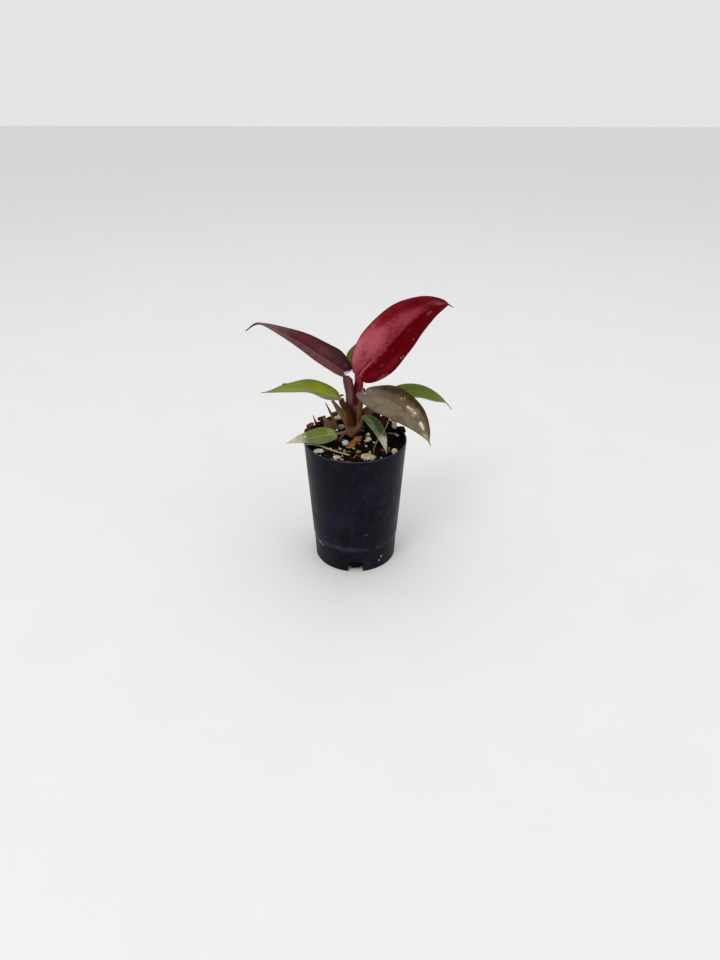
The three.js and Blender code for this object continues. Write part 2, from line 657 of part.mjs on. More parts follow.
const holes = [...crown];
const addLoose = (name, build, colour, clear = []) => {
  addMesh(name, clear.length ? carve(build(0), clear) : build(0), colour);
  holes.push(build(GAP));
};
addLoose('dry_sheath', (grow) => fuse(drySheath.map((part) => stalkGeometry(part, grow))), 'dryMauve');
addLoose('rim_splinter', (grow) => stalkGeometry(rimSplinter, grow), 'dryBrown');
for (const [name, lump] of Object.entries(lumps)) {
  addLoose(name, (grow) => lumpGeometry(lump, grow), 'pumice');
}
for (const [name, chip] of Object.entries(chips)) {
  addLoose(name, (grow) => chipGeometry(chip, grow), 'bark');
}
addLoose('dry_scrap', (grow) => stalkGeometry(dryScrap, grow), 'dryBrown', holes.slice());
addLoose('straw_strip', (grow) => stalkGeometry(strawStrip, grow), 'straw', holes.slice());
addLoose('dry_fibre_arch', (grow) => stalkGeometry(fibreArch, grow), 'straw', holes.slice());
addLoose('dry_fibre_right', (grow) => stalkGeometry(fibreRight, grow), 'straw', holes.slice());
addMesh('soil', soilGeometry(holes), 'soil');
addMesh('pot', potGeometry(), 'pot');

export default group;
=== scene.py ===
import math

import bmesh
import bpy
import numpy as np
from mathutils import Matrix, Vector


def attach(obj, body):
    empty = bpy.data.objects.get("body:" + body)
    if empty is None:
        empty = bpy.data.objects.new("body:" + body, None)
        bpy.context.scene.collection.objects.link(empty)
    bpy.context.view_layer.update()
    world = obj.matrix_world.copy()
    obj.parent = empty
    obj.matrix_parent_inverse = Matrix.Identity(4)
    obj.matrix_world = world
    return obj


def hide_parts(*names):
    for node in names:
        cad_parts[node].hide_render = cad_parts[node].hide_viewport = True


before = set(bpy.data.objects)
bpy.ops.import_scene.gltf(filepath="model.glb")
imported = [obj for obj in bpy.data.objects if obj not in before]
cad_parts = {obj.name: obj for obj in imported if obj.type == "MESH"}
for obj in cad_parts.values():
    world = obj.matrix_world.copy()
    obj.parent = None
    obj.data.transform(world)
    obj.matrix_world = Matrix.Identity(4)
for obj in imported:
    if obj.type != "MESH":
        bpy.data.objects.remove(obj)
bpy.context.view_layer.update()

# A young red philodendron in a thin black nursery pot.
# Lengths are millimetres until a mesh is made, and +Z is up. The pot stands on z = 0.
MM = 0.001

# Pot
POT_HEIGHT = 92.5
RIM_RADIUS = 35.0
FOOT_RADIUS = 29.2
WALL = 1.1
STEP_HEIGHT = 20.0
STEP_DEPTH = 0.4
FLOOR_BOTTOM = 3.0
FLOOR_TOP = 4.2
DRAIN_WIDTH = 11.0
DRAIN_HEIGHT = 8.5
DRAIN_COUNT = 4
POT_SIDES = 192

# Soil
SOIL_FRONT = 86.6
SOIL_RISE = 5.2
MOUND_HEIGHT = 2.2
MOUND_RADIUS = 9.0
SOIL_DIP = 2.6
HEAP_HEIGHT = 3.0
CLOD_HEIGHT = 1.5
CLOD_SIZE = 4.2
SOIL_EDGE = 33.2
SOIL_STEP_RADIUS = 28.8
SOIL_FOOT_RADIUS = 24.6
SLIVER_LENGTHS = 2.5, 6.5
SLIVER_RADII = 0.25, 0.7
SLIVER_SLOPE = 0.25
SOIL_RINGS = 72
SOIL_SIDES = 210

# Stem
STEM_X = -2.5
STEM_Y = 10.0
RING_SPACING = 6

# Blades
LEAF_ROWS = 96
LEAF_COLUMNS = 40
PLAIN_THREAD = 0.5
LOBE_REACH = 0.16
RUFFLE_LONG = 7.0
RUFFLE_WIDE = 6.0
BASE_SHARE = 0.06
WAVE_OFFSET = 1.7
NICK_REACH = 0.02
FOLD_ROUND = 0.6
VEIN_SPACING = 3.1
VEIN_SLANT = 0.75


# Numbers that repeat: smooth steps, a fixed pseudo-random value and its noise


def smoothstep(low, high, x):
    w = np.clip((np.asarray(x, float) - low) / (high - low), 0, 1)
    return w * w * (3 - 2 * w)


def hash_of(a, b, c=0.0):
    s = np.sin(np.asarray(a, float) * 127.1 + b * 311.7 + c * 74.7) * 43758.5453
    return s - np.floor(s)


def noise(x, y, seed=0.0):
    i, j = np.floor(x), np.floor(y)
    u, v = x - i, y - j
    u, v = u * u * (3 - 2 * u), v * v * (3 - 2 * v)
    low = hash_of(i, j, seed) * (1 - u) + hash_of(i + 1, j, seed) * u
    high = hash_of(i, j + 1, seed) * (1 - u) + hash_of(i + 1, j + 1, seed) * u
    return low * (1 - v) + high * v


def solid_noise(points, size, seed):
    """A smooth value from -1 to 1 for each point in space, with features of that size."""
    x, y, z = (np.asarray(points, float) / size).T
    return noise(x + 0.7 * z, y - 0.6 * z, seed) + noise(y + 5.3, z + 3.1, seed + 7) - 1


def smooth_list(values, t):
    values = np.array(values, float)
    x = np.minimum(np.asarray(t, float), 0.9999) * (len(values) - 1)
    i = x.astype(int)
    w = x - i
    return values[i] + (values[i + 1] - values[i]) * w * w * (3 - 2 * w)


def unit(vectors):
    return vectors / np.linalg.norm(vectors, axis=-1, keepdims=True)


class Curve:
    """A smooth line through a few points, read by its share of the length."""

    def __init__(self, points):
        self.points = np.array(points, float)
        self.steps = np.linspace(0, 1, 401)
        gaps = np.linalg.norm(np.diff(self.at(self.steps), axis=0), axis=1)
        lengths = np.concatenate([[0], np.cumsum(gaps)])
        self.length = lengths[-1]
        self.shares = lengths / self.length

    def at(self, t):
        p = self.points
        p = np.vstack([2 * p[0] - p[1], p, 2 * p[-1] - p[-2]])
        x = np.clip(np.asarray(t, float), 0, 1) * (len(self.points) - 1)
        i = np.minimum(x.astype(int), len(self.points) - 2)
        w = (x - i)[..., None]
        a, b, c, d = p[i], p[i + 1], p[i + 2], p[i + 3]
        start, end = 0.5 * (c - a), 0.5 * (d - b)
        return (2 * b - 2 * c + start + end) * w**3 + (3 * c - 3 * b - 2 * start - end) * w**2 + start * w + b

    def read(self, share):
        t = np.interp(share, self.shares, self.steps)
        return self.at(t), unit(self.at(np.minimum(t + 1e-3, 1)) - self.at(np.maximum(t - 1e-3, 0)))


# Meshes


def put(name, data):
    """A new object with that data, in the scene."""
    thing = bpy.data.objects.new(name, data)
    bpy.context.scene.collection.objects.link(thing)
    return thing


def add_piece(name, points, faces, materials, slot, replaces=(), maps=None, face_materials=None, smooth=True):
    """Makes a piece that rides on the part. maps holds, for each name, a pair of values per face corner."""
    mesh = bpy.data.meshes.new(name)
    mesh.from_pydata((np.asarray(points) * MM).tolist(), [], np.asarray(faces).tolist())
    for map_name, values in (maps or {}).items():
        layer = mesh.uv_layers.new(name=map_name)
        layer.data.foreach_set("uv", np.asarray(values, np.float32).ravel())
    for material in materials:
        mesh.materials.append(material)
    if face_materials is not None:
        mesh.polygons.foreach_set("material_index", np.asarray(face_materials, np.int32))
    mesh.polygons.foreach_set("use_smooth", [smooth] * len(mesh.polygons))
    mesh.update()
    piece = put(name, mesh)
    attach(piece, "root")
    if replaces:
        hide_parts(*replaces)


def loft(rings, maps):
    """Skins rings that each hold the same even number of points, and closes both ends. An array in maps holds
    one pair more per ring than the ring has points. Returns points, faces and corner maps."""
    rows, count = rings.shape[:2]
    i, k = [grid.ravel() for grid in np.meshgrid(np.arange(rows - 1), np.arange(count), indexing="ij")]
    ahead = (k + 1) % count
    faces = np.stack([i * count + k, i * count + ahead, (i + 1) * count + ahead, (i + 1) * count + k], 1)
    cap = np.arange(count // 2 - 1)
    cap = np.stack([cap, cap + 1, count - 2 - cap, count - 1 - cap], 1)
    ends = [cap[:, ::-1], cap + (rows - 1) * count]
    faces = np.vstack([faces, *ends])
    corner_maps = {}
    for name, values in maps.items():
        body = np.stack([values[i, k], values[i, k + 1], values[i + 1, k + 1], values[i + 1, k]], 1)
        caps = [values[0][ends[0]], values[-1][ends[1] - (rows - 1) * count]]
        corner_maps[name] = np.vstack([body, *caps])
    points = rings.reshape(-1, 3)
    a, b, c, d = [points[faces[:, n]] for n in range(4)]
    volume = (a * np.cross(b, c)).sum() + (a * np.cross(c, d)).sum()
    if volume < 0:
        faces = faces[:, ::-1]
        corner_maps = {name: values[:, ::-1] for name, values in corner_maps.items()}
    return points, faces, corner_maps


def merge(parts):
    """One set of points, faces and corner maps from several."""
    starts = np.cumsum([0] + [len(points) for points, _, _ in parts])
    points = np.vstack([points for points, _, _ in parts])
    faces = np.vstack([faces + start for (_, faces, _), start in zip(parts, starts)])
    maps = {name: np.vstack([maps[name] for _, _, maps in parts]) for name in parts[0][2]}
    return points, faces, maps


def ball(level):
    """The points and triangles of an icosphere."""
    work = bmesh.new()
    bmesh.ops.create_icosphere(work, subdivisions=level, radius=1)
    points = np.array([vertex.co for vertex in work.verts])
    faces = np.array([[vertex.index for vertex in face.verts] for face in work.faces])
    work.free()
    return points, faces


# Materials


def rgb(red, green, blue):
    """A colour in the renderer's own terms, from the 0 to 255 of a screen."""
    def linear(value):
        value /= 255
        return value / 12.92 if value <= 0.04045 else ((value + 0.055) / 1.055) ** 2.4
    return (linear(red), linear(green), linear(blue), 1)


class Paint:
    """A material whose nodes are added by short calls, which return sockets."""

    def __init__(self, name):
        self.material = bpy.data.materials.new(name)
        self.material.use_nodes = True
        self.tree = self.material.node_tree
        self.tree.nodes.clear()

    def node(self, kind, values, **settings):
        node = self.tree.nodes.new("ShaderNode" + kind)
        for name, value in settings.items():
            setattr(node, name, value)
        for socket, value in values.items():
            socket = node.inputs[socket]
            if isinstance(value, bpy.types.NodeSocket):
                self.tree.links.new(value, socket)
            elif value is not None:
                socket.default_value = value
        return node

    def place(self, stretch=(1, 1, 1)):
        """The place on the part in millimetres, squeezed by stretch."""
        spot = self.node("TexCoord", {}).outputs["Object"]
        scale = [value / MM for value in stretch]
        return self.node("Mapping", {"Vector": spot, "Scale": scale}).outputs["Vector"]

    def pair(self, map_name):
        """The two values of one of the mesh's maps."""
        spot = self.node("UVMap", {}, uv_map=map_name).outputs["UV"]
        parts = self.node("SeparateXYZ", {"Vector": spot}).outputs
        return parts["X"], parts["Y"]

    def vector(self, x, y):
        return self.node("CombineXYZ", {"X": x, "Y": y}).outputs["Vector"]

    def height(self):
        """Height above the surface that the part stands on, in millimetres."""
        return self.node("SeparateXYZ", {"Vector": self.place()}).outputs["Z"]

    def calc(self, operation, a, b=None, c=None):
        return self.node("Math", {0: a, 1: b, 2: c}, operation=operation).outputs["Value"]

    def times(self, a, b):
        return self.calc("MULTIPLY", a, b)

    def minus(self, a, b):
        return self.calc("SUBTRACT", a, b)

    def sway(self, cloud, gain, middle):
        """A value that strays to both sides of the middle as a cloudy one does."""
        return self.calc("MULTIPLY_ADD", self.minus(cloud, 0.5), gain, middle)

    def step(self, value, low, high, first=0.0, last=1.0):
        """A smooth step from first to last as value goes from low to high."""
        sockets = {"Value": value, "From Min": low, "From Max": high, "To Min": first, "To Max": last}
        return self.node("MapRange", sockets, interpolation_type="SMOOTHSTEP").outputs["Result"]

    def band(self, value, middle, half, soft):
        """1 within half of the middle, falling to 0 over soft."""
        away = self.calc("ABSOLUTE", self.minus(value, middle))
        return self.step(away, half, half + soft, 1.0, 0.0)

    def noise(self, vector, size, detail=3.0, rough=0.55):
        """A cloudy value, about 0.25 to 0.75, with features of that size."""
        sockets = {"Vector": vector, "Scale": 1 / size, "Detail": detail, "Roughness": rough}
        return self.node("TexNoise", sockets).outputs["Fac"]

    def cells(self, vector, size):
        """How far off the nearest of some scattered points is, with cells of that size."""
        return self.node("TexVoronoi", {"Vector": vector, "Scale": 1 / size}).outputs["Distance"]

    def mix(self, factor, first, second):
        """Between two colours, each a socket or the 0 to 255 of a screen."""
        node = self.tree.nodes.new("ShaderNodeMix")
        node.data_type = "RGBA"
        colours = [socket for socket in node.inputs if socket.type == "RGBA"]
        for socket, value in zip([node.inputs[0], *colours], (factor, first, second)):
            if isinstance(value, bpy.types.NodeSocket):
                self.tree.links.new(value, socket)
            else:
                socket.default_value = rgb(*value) if isinstance(value, tuple) else value
        return [socket for socket in node.outputs if socket.type == "RGBA"][0]

    def bump(self, height, distance, normal=None):
        """Relief, in millimetres, on top of the relief given."""
        sockets = {"Height": height, "Distance": distance * MM, "Strength": 1.0}
        if normal is not None:
            sockets["Normal"] = normal
        return self.node("Bump", sockets).outputs["Normal"]

    def blotches(self, colour, across, along, marks):
        """Lays patches over a colour. A mark holds how far along and across it lies, its two half lengths,
        its colour, its strength, and how soft it is."""
        if not marks:
            return colour
        broad, fine = self.noise(self.place(), 2.8, 3.0), self.noise(self.place(), 1.3, 3.0)
        ragged = self.calc("MULTIPLY_ADD", broad, 1.0, self.calc("MULTIPLY_ADD", fine, 0.5, -0.75))
        for at, place, half_along, half_across, tint, strength, soft in marks:
            x = self.calc("DIVIDE", self.minus(along, at), half_along)
            y = self.calc("DIVIDE", self.minus(across, place), half_across)
            far = self.calc("SQRT", self.calc("ADD", self.calc("POWER", x, 2.0), self.calc("POWER", y, 2.0)))
            frayed = self.calc("ADD", far, ragged)
            shown = self.step(frayed, 0.9 - 0.75 * soft, 1.05 + 0.25 * soft, strength, 0.0)
            colour = self.mix(shown, colour, tint)
        return colour

    def finish(self, colour, roughness, normal=None, **fixed):
        sockets = {"Base Color": colour, "Roughness": roughness}
        if normal is not None:
            sockets["Normal"] = normal
        sockets.update({name.replace("_", " "): value for name, value in fixed.items()})
        shader = self.node("BsdfPrincipled", sockets)
        self.node("OutputMaterial", {"Surface": shader.outputs["BSDF"]})
        return self.material


def leaf_paint(name, look):
    """A leaf's upper face: two halves, rib, side veins, dark margin, tinted base and tip, and its marks,
    among them painted sheen and highlights on some leaves.
    """
    paint = Paint(name)
    across, along = paint.pair("blade")
    side = paint.calc("MULTIPLY_ADD", across, 2.0, -1.0)
    out, reach = paint.pair("span")
    margin, _ = paint.pair("margin")
    spot = paint.place()
    cloud = paint.noise(spot, look["cloud_size"], 4.0)
    fine = paint.noise(spot, look["mottle_size"], 3.0)
    # The two halves' colours. On the red leaf the left half is lighter partly as painted light on that side
    # of the fold.
    colour = paint.mix(paint.step(side, -0.04, 0.04), look["left"], look["right"])
    colour = paint.mix(paint.step(cloud, 0.42, 0.66, 0.0, look["clouds"]), colour, look["cloud"])
    base = paint.step(along, 0.0, look["base_reach"], look["based"], 0.0)
    colour = paint.mix(base, colour, look["base"])
    wander = paint.sway(cloud, 0.5, along)
    tip = paint.step(wander, look["tip_start"], look["tip_end"], 0.0, look["tipped"])
    colour = paint.mix(tip, colour, look["tip"])
    slanted = paint.minus(reach, paint.times(out, VEIN_SLANT))
    phase = paint.times(slanted, 2 * math.pi / VEIN_SPACING)
    vein = paint.step(paint.calc("COSINE", phase), 0.72, 1.0)
    thin = paint.step(paint.calc("COSINE", paint.times(phase, 3.0)), 0.4, 1.0)
    inside = paint.times(paint.step(out, 0.6, 2.2), paint.step(margin, 0.3, 2.2))
    vein = paint.times(vein, inside)
    thin = paint.times(thin, inside)
    colour = paint.mix(paint.times(vein, look["veined"]), colour, look["vein"])
    colour = paint.mix(paint.step(fine, 0.38, 0.7, 0.0, look["mottled"]), colour, look["deep"])
    rib_width = paint.step(along, 0.0, 0.9, look["rib_width"], 0.18)
    on_rib = paint.step(paint.calc("DIVIDE", out, rib_width), 0.45, 1.0, look["ribbed"], 0.0)
    rib_end = look["rib_end"]
    on_rib = paint.times(on_rib, paint.step(along, rib_end * 0.5, rib_end, 1.0, look["rib_left"]))
    colour = paint.mix(on_rib, colour, look["rib"])
    # Marks, which on the red and bronze leaves include painted sheen and gloss highlights.
    colour = paint.blotches(colour, side, along, look["marks"])
    specks = paint.step(paint.cells(spot, 2.6), 0.05, 0.13, look["specks"], 0.0)
    picked = paint.step(paint.noise(spot, 5.0, 2.0), 0.56, 0.62)
    colour = paint.mix(paint.times(specks, picked), colour, look["speck"])
    rim = paint.step(margin, 0.1, look["rim_width"], look["rimmed"], 0.0)
    colour = paint.mix(rim, colour, look["rim"])
    thread = paint.step(along, look["end"] - 0.02, look["end"] + 0.01)
    colour = paint.mix(thread, colour, look["thread"])
    relief = paint.calc("MULTIPLY_ADD", thin, 0.35, vein)
    normal = paint.bump(relief, look["relief"])
    normal = paint.bump(cloud, look["waviness"], normal)
    normal = paint.bump(fine, 0.06, normal)
    rough = look["rough"]
    roughness = paint.step(cloud, 0.35, 0.7, rough - 0.07, rough + 0.1)
    return paint.finish(
        colour, roughness, normal,
        Specular_IOR_Level=look["shine"], Subsurface_Weight=look["glow"],
        Subsurface_Radius=(1.0, 0.4, 0.2), Subsurface_Scale=0.001,
    )


def underside_paint(name, look):
    """A leaf's lower face, paler and duller, with the side veins standing out."""
    paint = Paint(name)
    _, along = paint.pair("blade")
    out, reach = paint.pair("span")
    cloud = paint.noise(paint.place(), 6.0, 4.0)
    colour = paint.mix(paint.step(cloud, 0.35, 0.7, 0.0, 0.6), look["under"], look["under_cloud"])
    slanted = paint.minus(reach, paint.times(out, VEIN_SLANT))
    wave = paint.calc("COSINE", paint.times(slanted, 2 * math.pi / VEIN_SPACING))
    vein = paint.times(paint.step(wave, 0.7, 1.0), paint.step(out, 0.5, 1.5))
    colour = paint.mix(paint.times(vein, 0.16), colour, look["rib"])
    colour = paint.mix(paint.step(out, 0.5, 1.3, 0.75, 0.0), colour, look["rib"])
    colour = paint.mix(paint.step(along, look["end"] - 0.02, look["end"] + 0.01), colour, look["thread"])
    normal = paint.bump(vein, 0.08)
    normal = paint.bump(paint.noise(paint.place(), 0.7), 0.05, normal)
    roughness = paint.step(cloud, 0.3, 0.7, 0.5, 0.62)
    return paint.finish(
        colour, roughness, normal, Specular_IOR_Level=0.12,
        Subsurface_Weight=0.08, Subsurface_Radius=(1.0, 0.4, 0.2), Subsurface_Scale=0.001,
    )


def stalk_paint(name, low, high, front, streak, rough=0.45, front_share=0.35, marks=()):
    """A stalk or sheath: a colour at its foot and another at its top and down its middle, and long fibres."""
    paint = Paint(name)
    around, along = paint.pair("length")
    cloud = paint.noise(paint.place(), 3.0, 4.0)
    wander = paint.sway(cloud, 0.8, along)
    colour = paint.mix(paint.step(wander, 0.1, 0.9), low, high)
    colour = paint.mix(paint.band(around, 0.5, 0.5 * front_share, 0.22), colour, front)
    colour = paint.blotches(colour, around, along, marks)
    long = paint.vector(paint.times(around, 22.0), paint.times(along, 2.2))
    fibre = paint.noise(long, 1.0, 4.0, 0.6)
    colour = paint.mix(paint.step(fibre, 0.45, 0.68, 0.0, 0.55), colour, streak)
    dark = paint.step(paint.noise(paint.place(), 1.1, 3.0), 0.56, 0.76, 0.0, 0.4)
    colour = paint.mix(dark, colour, (28.6, 17.9, 17.9))
    normal = paint.bump(fibre, 0.18)
    normal = paint.bump(cloud, 0.15, normal)
    roughness = paint.step(fibre, 0.35, 0.7, rough - 0.06, rough + 0.12)
    return paint.finish(
        colour, roughness, normal, Specular_IOR_Level=0.07, Subsurface_Weight=0.05, Subsurface_Scale=0.001)


def grain_paint(name, dark, light, size, spread, rough, pits=None, dirt=0.5, stretch=(1, 1, 1)):
    """Grit, bark or stone: cloudy colour, a tone of its own for each crumb, pits, and patches of dirt."""
    paint = Paint(name)
    tone, shade = paint.pair("tint")
    spot = paint.place(stretch)
    cloud = paint.noise(spot, size, 5.0, 0.65)
    mixed = paint.sway(tone, spread, cloud)
    colour = paint.mix(paint.step(mixed, 0.3, 0.72), dark, light)
    colour = paint.mix(paint.step(shade, 0.55, 1.0, 0.0, 0.45), colour, (17.9, 15.6, 12.9))
    soiled = paint.step(paint.noise(spot, size * 0.45, 4.0), 0.54, 0.66, 0.0, dirt)
    colour = paint.mix(soiled, colour, (34, 24, 18))
    normal = paint.bump(cloud, size * 0.3)
    if pits:
        holes = paint.step(paint.cells(spot, pits), 0.08, 0.30)
        colour = paint.mix(paint.calc("MULTIPLY_ADD", holes, -0.7, 0.7), colour, (132, 112, 90))
        normal = paint.bump(holes, pits * 0.2, normal)
    roughness = paint.step(cloud, 0.3, 0.7, rough - 0.1, min(rough + 0.06, 1.0))
    return paint.finish(colour, roughness, normal, Specular_IOR_Level=0.08)


def soil_paint():
    """Black potting mix: near-black peat with brown fibre and a little moisture."""
    paint = Paint("potting_mix")
    spot = paint.place()
    coarse = paint.noise(spot, 3.2, 5.0, 0.65)
    fine = paint.noise(spot, 0.7, 4.0)
    colour = paint.mix(paint.step(coarse, 0.4, 0.7), (4, 4, 4), (20, 16, 11))
    colour = paint.mix(paint.step(fine, 0.62, 0.76, 0.0, 0.5), colour, (52, 40, 26))
    colour = paint.mix(paint.step(paint.cells(spot, 1.9), 0.04, 0.13, 0.4, 0.0), colour, (104, 84, 58))
    normal = paint.bump(coarse, 0.9)
    normal = paint.bump(fine, 0.3, normal)
    return paint.finish(colour, paint.step(coarse, 0.35, 0.65, 0.75, 1.0), normal, Specular_IOR_Level=0.05)


# A mark holds its height, its angle from the front in radians, its two half lengths, colour, strength and
# softness. The three pale streaks near the step on the left are painted reflections, and the band across the
# step in front is dust with a painted reflection; the other marks are scuffs and mottling.
POT_SCUFFS_AND_REFLECTIONS = [
    (17.6, -1.15, 0.8, 0.05, (148, 140, 146), 0.5, 0.6),
    (17.1, -1.02, 0.7, 0.07, (176, 166, 168), 0.7, 0.5),
    (16.3, -0.91, 0.8, 0.06, (150, 142, 148), 0.5, 0.6),
    (9.3, 0.67, 0.9, 0.022, (196, 190, 188), 0.8, 0.5),
    (6.3, 0.61, 0.8, 0.020, (204, 198, 196), 0.8, 0.5),
    (32.8, 0.25, 0.6, 0.03, (84, 86, 108), 0.7, 0.8),
    (20.0, -0.45, 2.4, 0.55, (54, 54, 72), 0.45, 1.0),
    (44.0, -0.35, 9.0, 0.40, (30, 30, 50), 0.6, 1.0),
    (70.0, 0.30, 9.0, 0.35, (28, 28, 46), 0.5, 1.0),
]


def pot_paint():
    """Thin black plastic with a blue cast: moulding ripples, fine scratches, scuffs and dust low down, with
    painted reflections at the step and a painted highlight along the rim's top edge.
    """
    paint = Paint("pot_plastic")
    spot = paint.place()
    height = paint.height()
    cloud = paint.noise(spot, 14.0, 4.0)
    fine = paint.noise(spot, 0.8, 3.0)
    smear = paint.noise(spot, 5.0, 5.0, 0.6)
    colour = paint.mix(paint.step(cloud, 0.35, 0.7), (8, 8, 16), (15, 15, 28))
    colour = paint.mix(paint.step(smear, 0.48, 0.7, 0.0, 0.55), colour, (32, 32, 54))
    streaks = paint.noise(paint.place((1, 1, 0.08)), 0.9, 4.0)
    colour = paint.mix(paint.step(streaks, 0.58, 0.74, 0.0, 0.3), colour, (40, 40, 56))
    low = paint.step(height, 6.0, 30.0, 1.0, 0.1)
    dust = paint.times(paint.step(paint.noise(spot, 2.2, 6.0, 0.7), 0.54, 0.74), low)
    colour = paint.mix(paint.times(dust, 0.28), colour, (84, 78, 82))
    # A lighter arc at the step: dust, with a painted reflection of the step's edge.
    ring = paint.times(paint.band(height, STEP_HEIGHT, 0.6, 2.6), paint.step(smear, 0.36, 0.62))
    colour = paint.mix(paint.times(ring, 0.5), colour, (62, 62, 78))
    foot = paint.times(paint.step(height, 0.2, 1.4, 1.0, 0.0), paint.step(fine, 0.4, 0.6))
    colour = paint.mix(paint.times(foot, 0.3), colour, (104, 92, 84))
    leaning = {"Vector": spot, "Rotation": (0.0, 0.5, 0.3), "Scale": (1, 1, 0.06)}
    drawn_out = paint.node("Mapping", leaning).outputs["Vector"]
    scratches = paint.step(paint.noise(drawn_out, 0.5, 2.0), 0.7, 0.76)
    colour = paint.mix(paint.times(scratches, 0.4), colour, (86, 86, 104))
    # The rim's top edge is lightened: a painted highlight.
    lip = paint.step(height, POT_HEIGHT - 0.9, POT_HEIGHT - 0.1)
    colour = paint.mix(paint.times(lip, 0.6), colour, (62, 62, 78))
    specks = paint.step(paint.cells(spot, 5.2), 0.02, 0.05, 0.5, 0.0)
    colour = paint.mix(specks, colour, (130, 124, 122))
    sides = paint.node("SeparateXYZ", {"Vector": spot}).outputs
    around = paint.calc("ARCTAN2", sides["X"], paint.times(sides["Y"], -1.0))
    # Scuffs and mottling, and painted reflections at the step on the left and in front.
    colour = paint.blotches(colour, around, height, POT_SCUFFS_AND_REFLECTIONS)
    rings = paint.calc("SINE", paint.times(height, 2 * math.pi / 0.8))
    normal = paint.bump(rings, 0.004)
    normal = paint.bump(cloud, 0.5, normal)
    normal = paint.bump(fine, 0.02, normal)
    worn = paint.calc("MULTIPLY_ADD", dust, 0.25, paint.step(cloud, 0.3, 0.7, 0.34, 0.46))
    return paint.finish(colour, worn, normal, Specular_IOR_Level=0.07)


def floor_paint():
    paint = Paint("pale_floor")
    grain = paint.noise(paint.place(), 60.0, 4.0)
    colour = paint.mix(grain, (234, 233, 231), (239, 238, 236))
    return paint.finish(colour, paint.step(grain, 0.3, 0.7, 0.7, 0.8))


# Blades: a spine, a width that swells and tapers, a fold along the rib and a roll about it


def blade_width(t, leaf):
    swell = 1 - np.minimum(t / leaf["widest"], 1)
    before = BASE_SHARE + (1 - BASE_SHARE) * np.sqrt(1 - swell**2)
    taper = np.clip((t - leaf["widest"]) / (leaf["end"] - leaf["widest"]), 0, 1)
    return leaf["half"] * np.where(t < leaf["widest"], before, 1 - taper ** leaf["taper"])


def blade(leaf, rows, columns):
    """Points, faces, corner maps and face materials of a blade, with its rib, pleats and thin edges."""
    curve = Curve(leaf["spine"])
    t = (0.5 - 0.5 * np.cos(np.pi * np.linspace(0, 1, rows + 1)))[:, None]
    x = np.linspace(-1, 1, columns + 1)
    v = (np.sign(x) * np.abs(x) ** 1.5)[None, :]
    centre, along = curve.read(t[:, 0])
    flat_side = unit(np.stack([along[:, 1], -along[:, 0], np.zeros(rows + 1)], 1))
    flat_up = np.cross(flat_side, along)
    first, last = leaf["roll"]
    roll = np.radians(first + (last - first) * t)
    side = flat_side * np.cos(roll) + flat_up * np.sin(roll)
    up = flat_up * np.cos(roll) - flat_side * np.sin(roll)
    fold = math.radians(leaf["fold"])
    thread = leaf.get("thread", PLAIN_THREAD) * (1 - 0.65 * smoothstep(leaf["end"] - 0.03, 1, t))
    width = np.maximum(blade_width(t, leaf), thread)
    at, height = leaf.get("nick", (0, 0))
    out = np.abs(v) * width * (1 + height * (v > 0) * np.exp(-(((t - at) / NICK_REACH) ** 2)))
    phase = 2 * np.pi * leaf["waves"] * t + np.where(v > 0, WAVE_OFFSET, 0)
    wave = leaf["wave"] * v**2 * np.sin(phase) * width / leaf["half"]
    lobe = leaf["lobe"] * np.where(v < 0, leaf.get("near_lobe", 1), 1)
    back = lobe * np.sin(np.pi * np.minimum(out / leaf["half"], 1)) * np.exp(-t / LOBE_REACH)
    lift = math.sin(fold) * np.sqrt(out**2 + FOLD_ROUND**2 * np.minimum(width / leaf["half"], 1)) + wave
    start = curve.read(np.array([0.0]))[1][0]
    grid = centre[:, None] + side[:, None] * (np.sign(v) * out * math.cos(fold))[..., None]
    grid = grid + up[:, None] * lift[..., None] - start * back[..., None]
    down, over = np.gradient(grid, axis=0), np.gradient(grid, axis=1)
    normal = unit(np.cross(over, down))
    inside = smoothstep(0.5, 2.5, out) * smoothstep(0.2, 2.5, width - out)
    reach = t * curve.length
    pleat = np.cos(2 * np.pi * (reach - VEIN_SLANT * out) / VEIN_SPACING)
    rib = leaf.get("rib", 0.32) * (1 - t) * np.exp(-((out / (0.75 - 0.4 * t)) ** 2))
    relief = rib - leaf.get("pleat", 0.05) * inside * np.maximum(pleat, 0) ** 2
    ruffle = noise(reach / RUFFLE_LONG + 3, np.sign(v) * out / RUFFLE_WIDE + 9, leaf["half"]) - 0.5
    relief = relief + leaf.get("ruffle", 0.25) * inside * ruffle
    above = grid + normal * relief[..., None]
    thick = 0.24 + 0.26 * (1 - np.abs(v)) * np.minimum(width / leaf["half"] * 2, 1)
    keel = leaf.get("keel", 0.9) * (1 - t) ** 0.7 * np.exp(-((out / (1.0 - 0.5 * t)) ** 2))
    below = grid - normal * (thick + keel - np.minimum(relief, 0) - 0.4 * relief.clip(0))[..., None]
    rings = np.concatenate([above, below[:, ::-1]], 1)
    pair = lambda a, b: np.stack(np.broadcast_arrays(a, b), -1)
    maps = {
        "blade": pair((v + 1) / 2, t),
        "span": pair(out, reach),
        "margin": pair(width - out, 0 * out),
    }
    maps = {name: np.concatenate([own, own[:, ::-1], own[:, :1]], 1) for name, own in maps.items()}
    points, faces, maps = loft(rings, maps)
    count = 2 * (columns + 1)
    k = np.tile(np.arange(count), rows)
    under = np.concatenate([(k >= columns).astype(int), np.ones(count - 2, int)])
    return points, faces, maps, under


def add_leaf(node, leaf, look):
    points, faces, maps, under = blade(leaf, LEAF_ROWS, LEAF_COLUMNS)
    look = {**look, "end": leaf["end"]}
    materials = [leaf_paint(node + "_top", look), underside_paint(node + "_under", look)]
    name = node.replace("leaf", "blade")
    add_piece(name, points, faces, materials, leaf["slot"], (node,), maps, under)


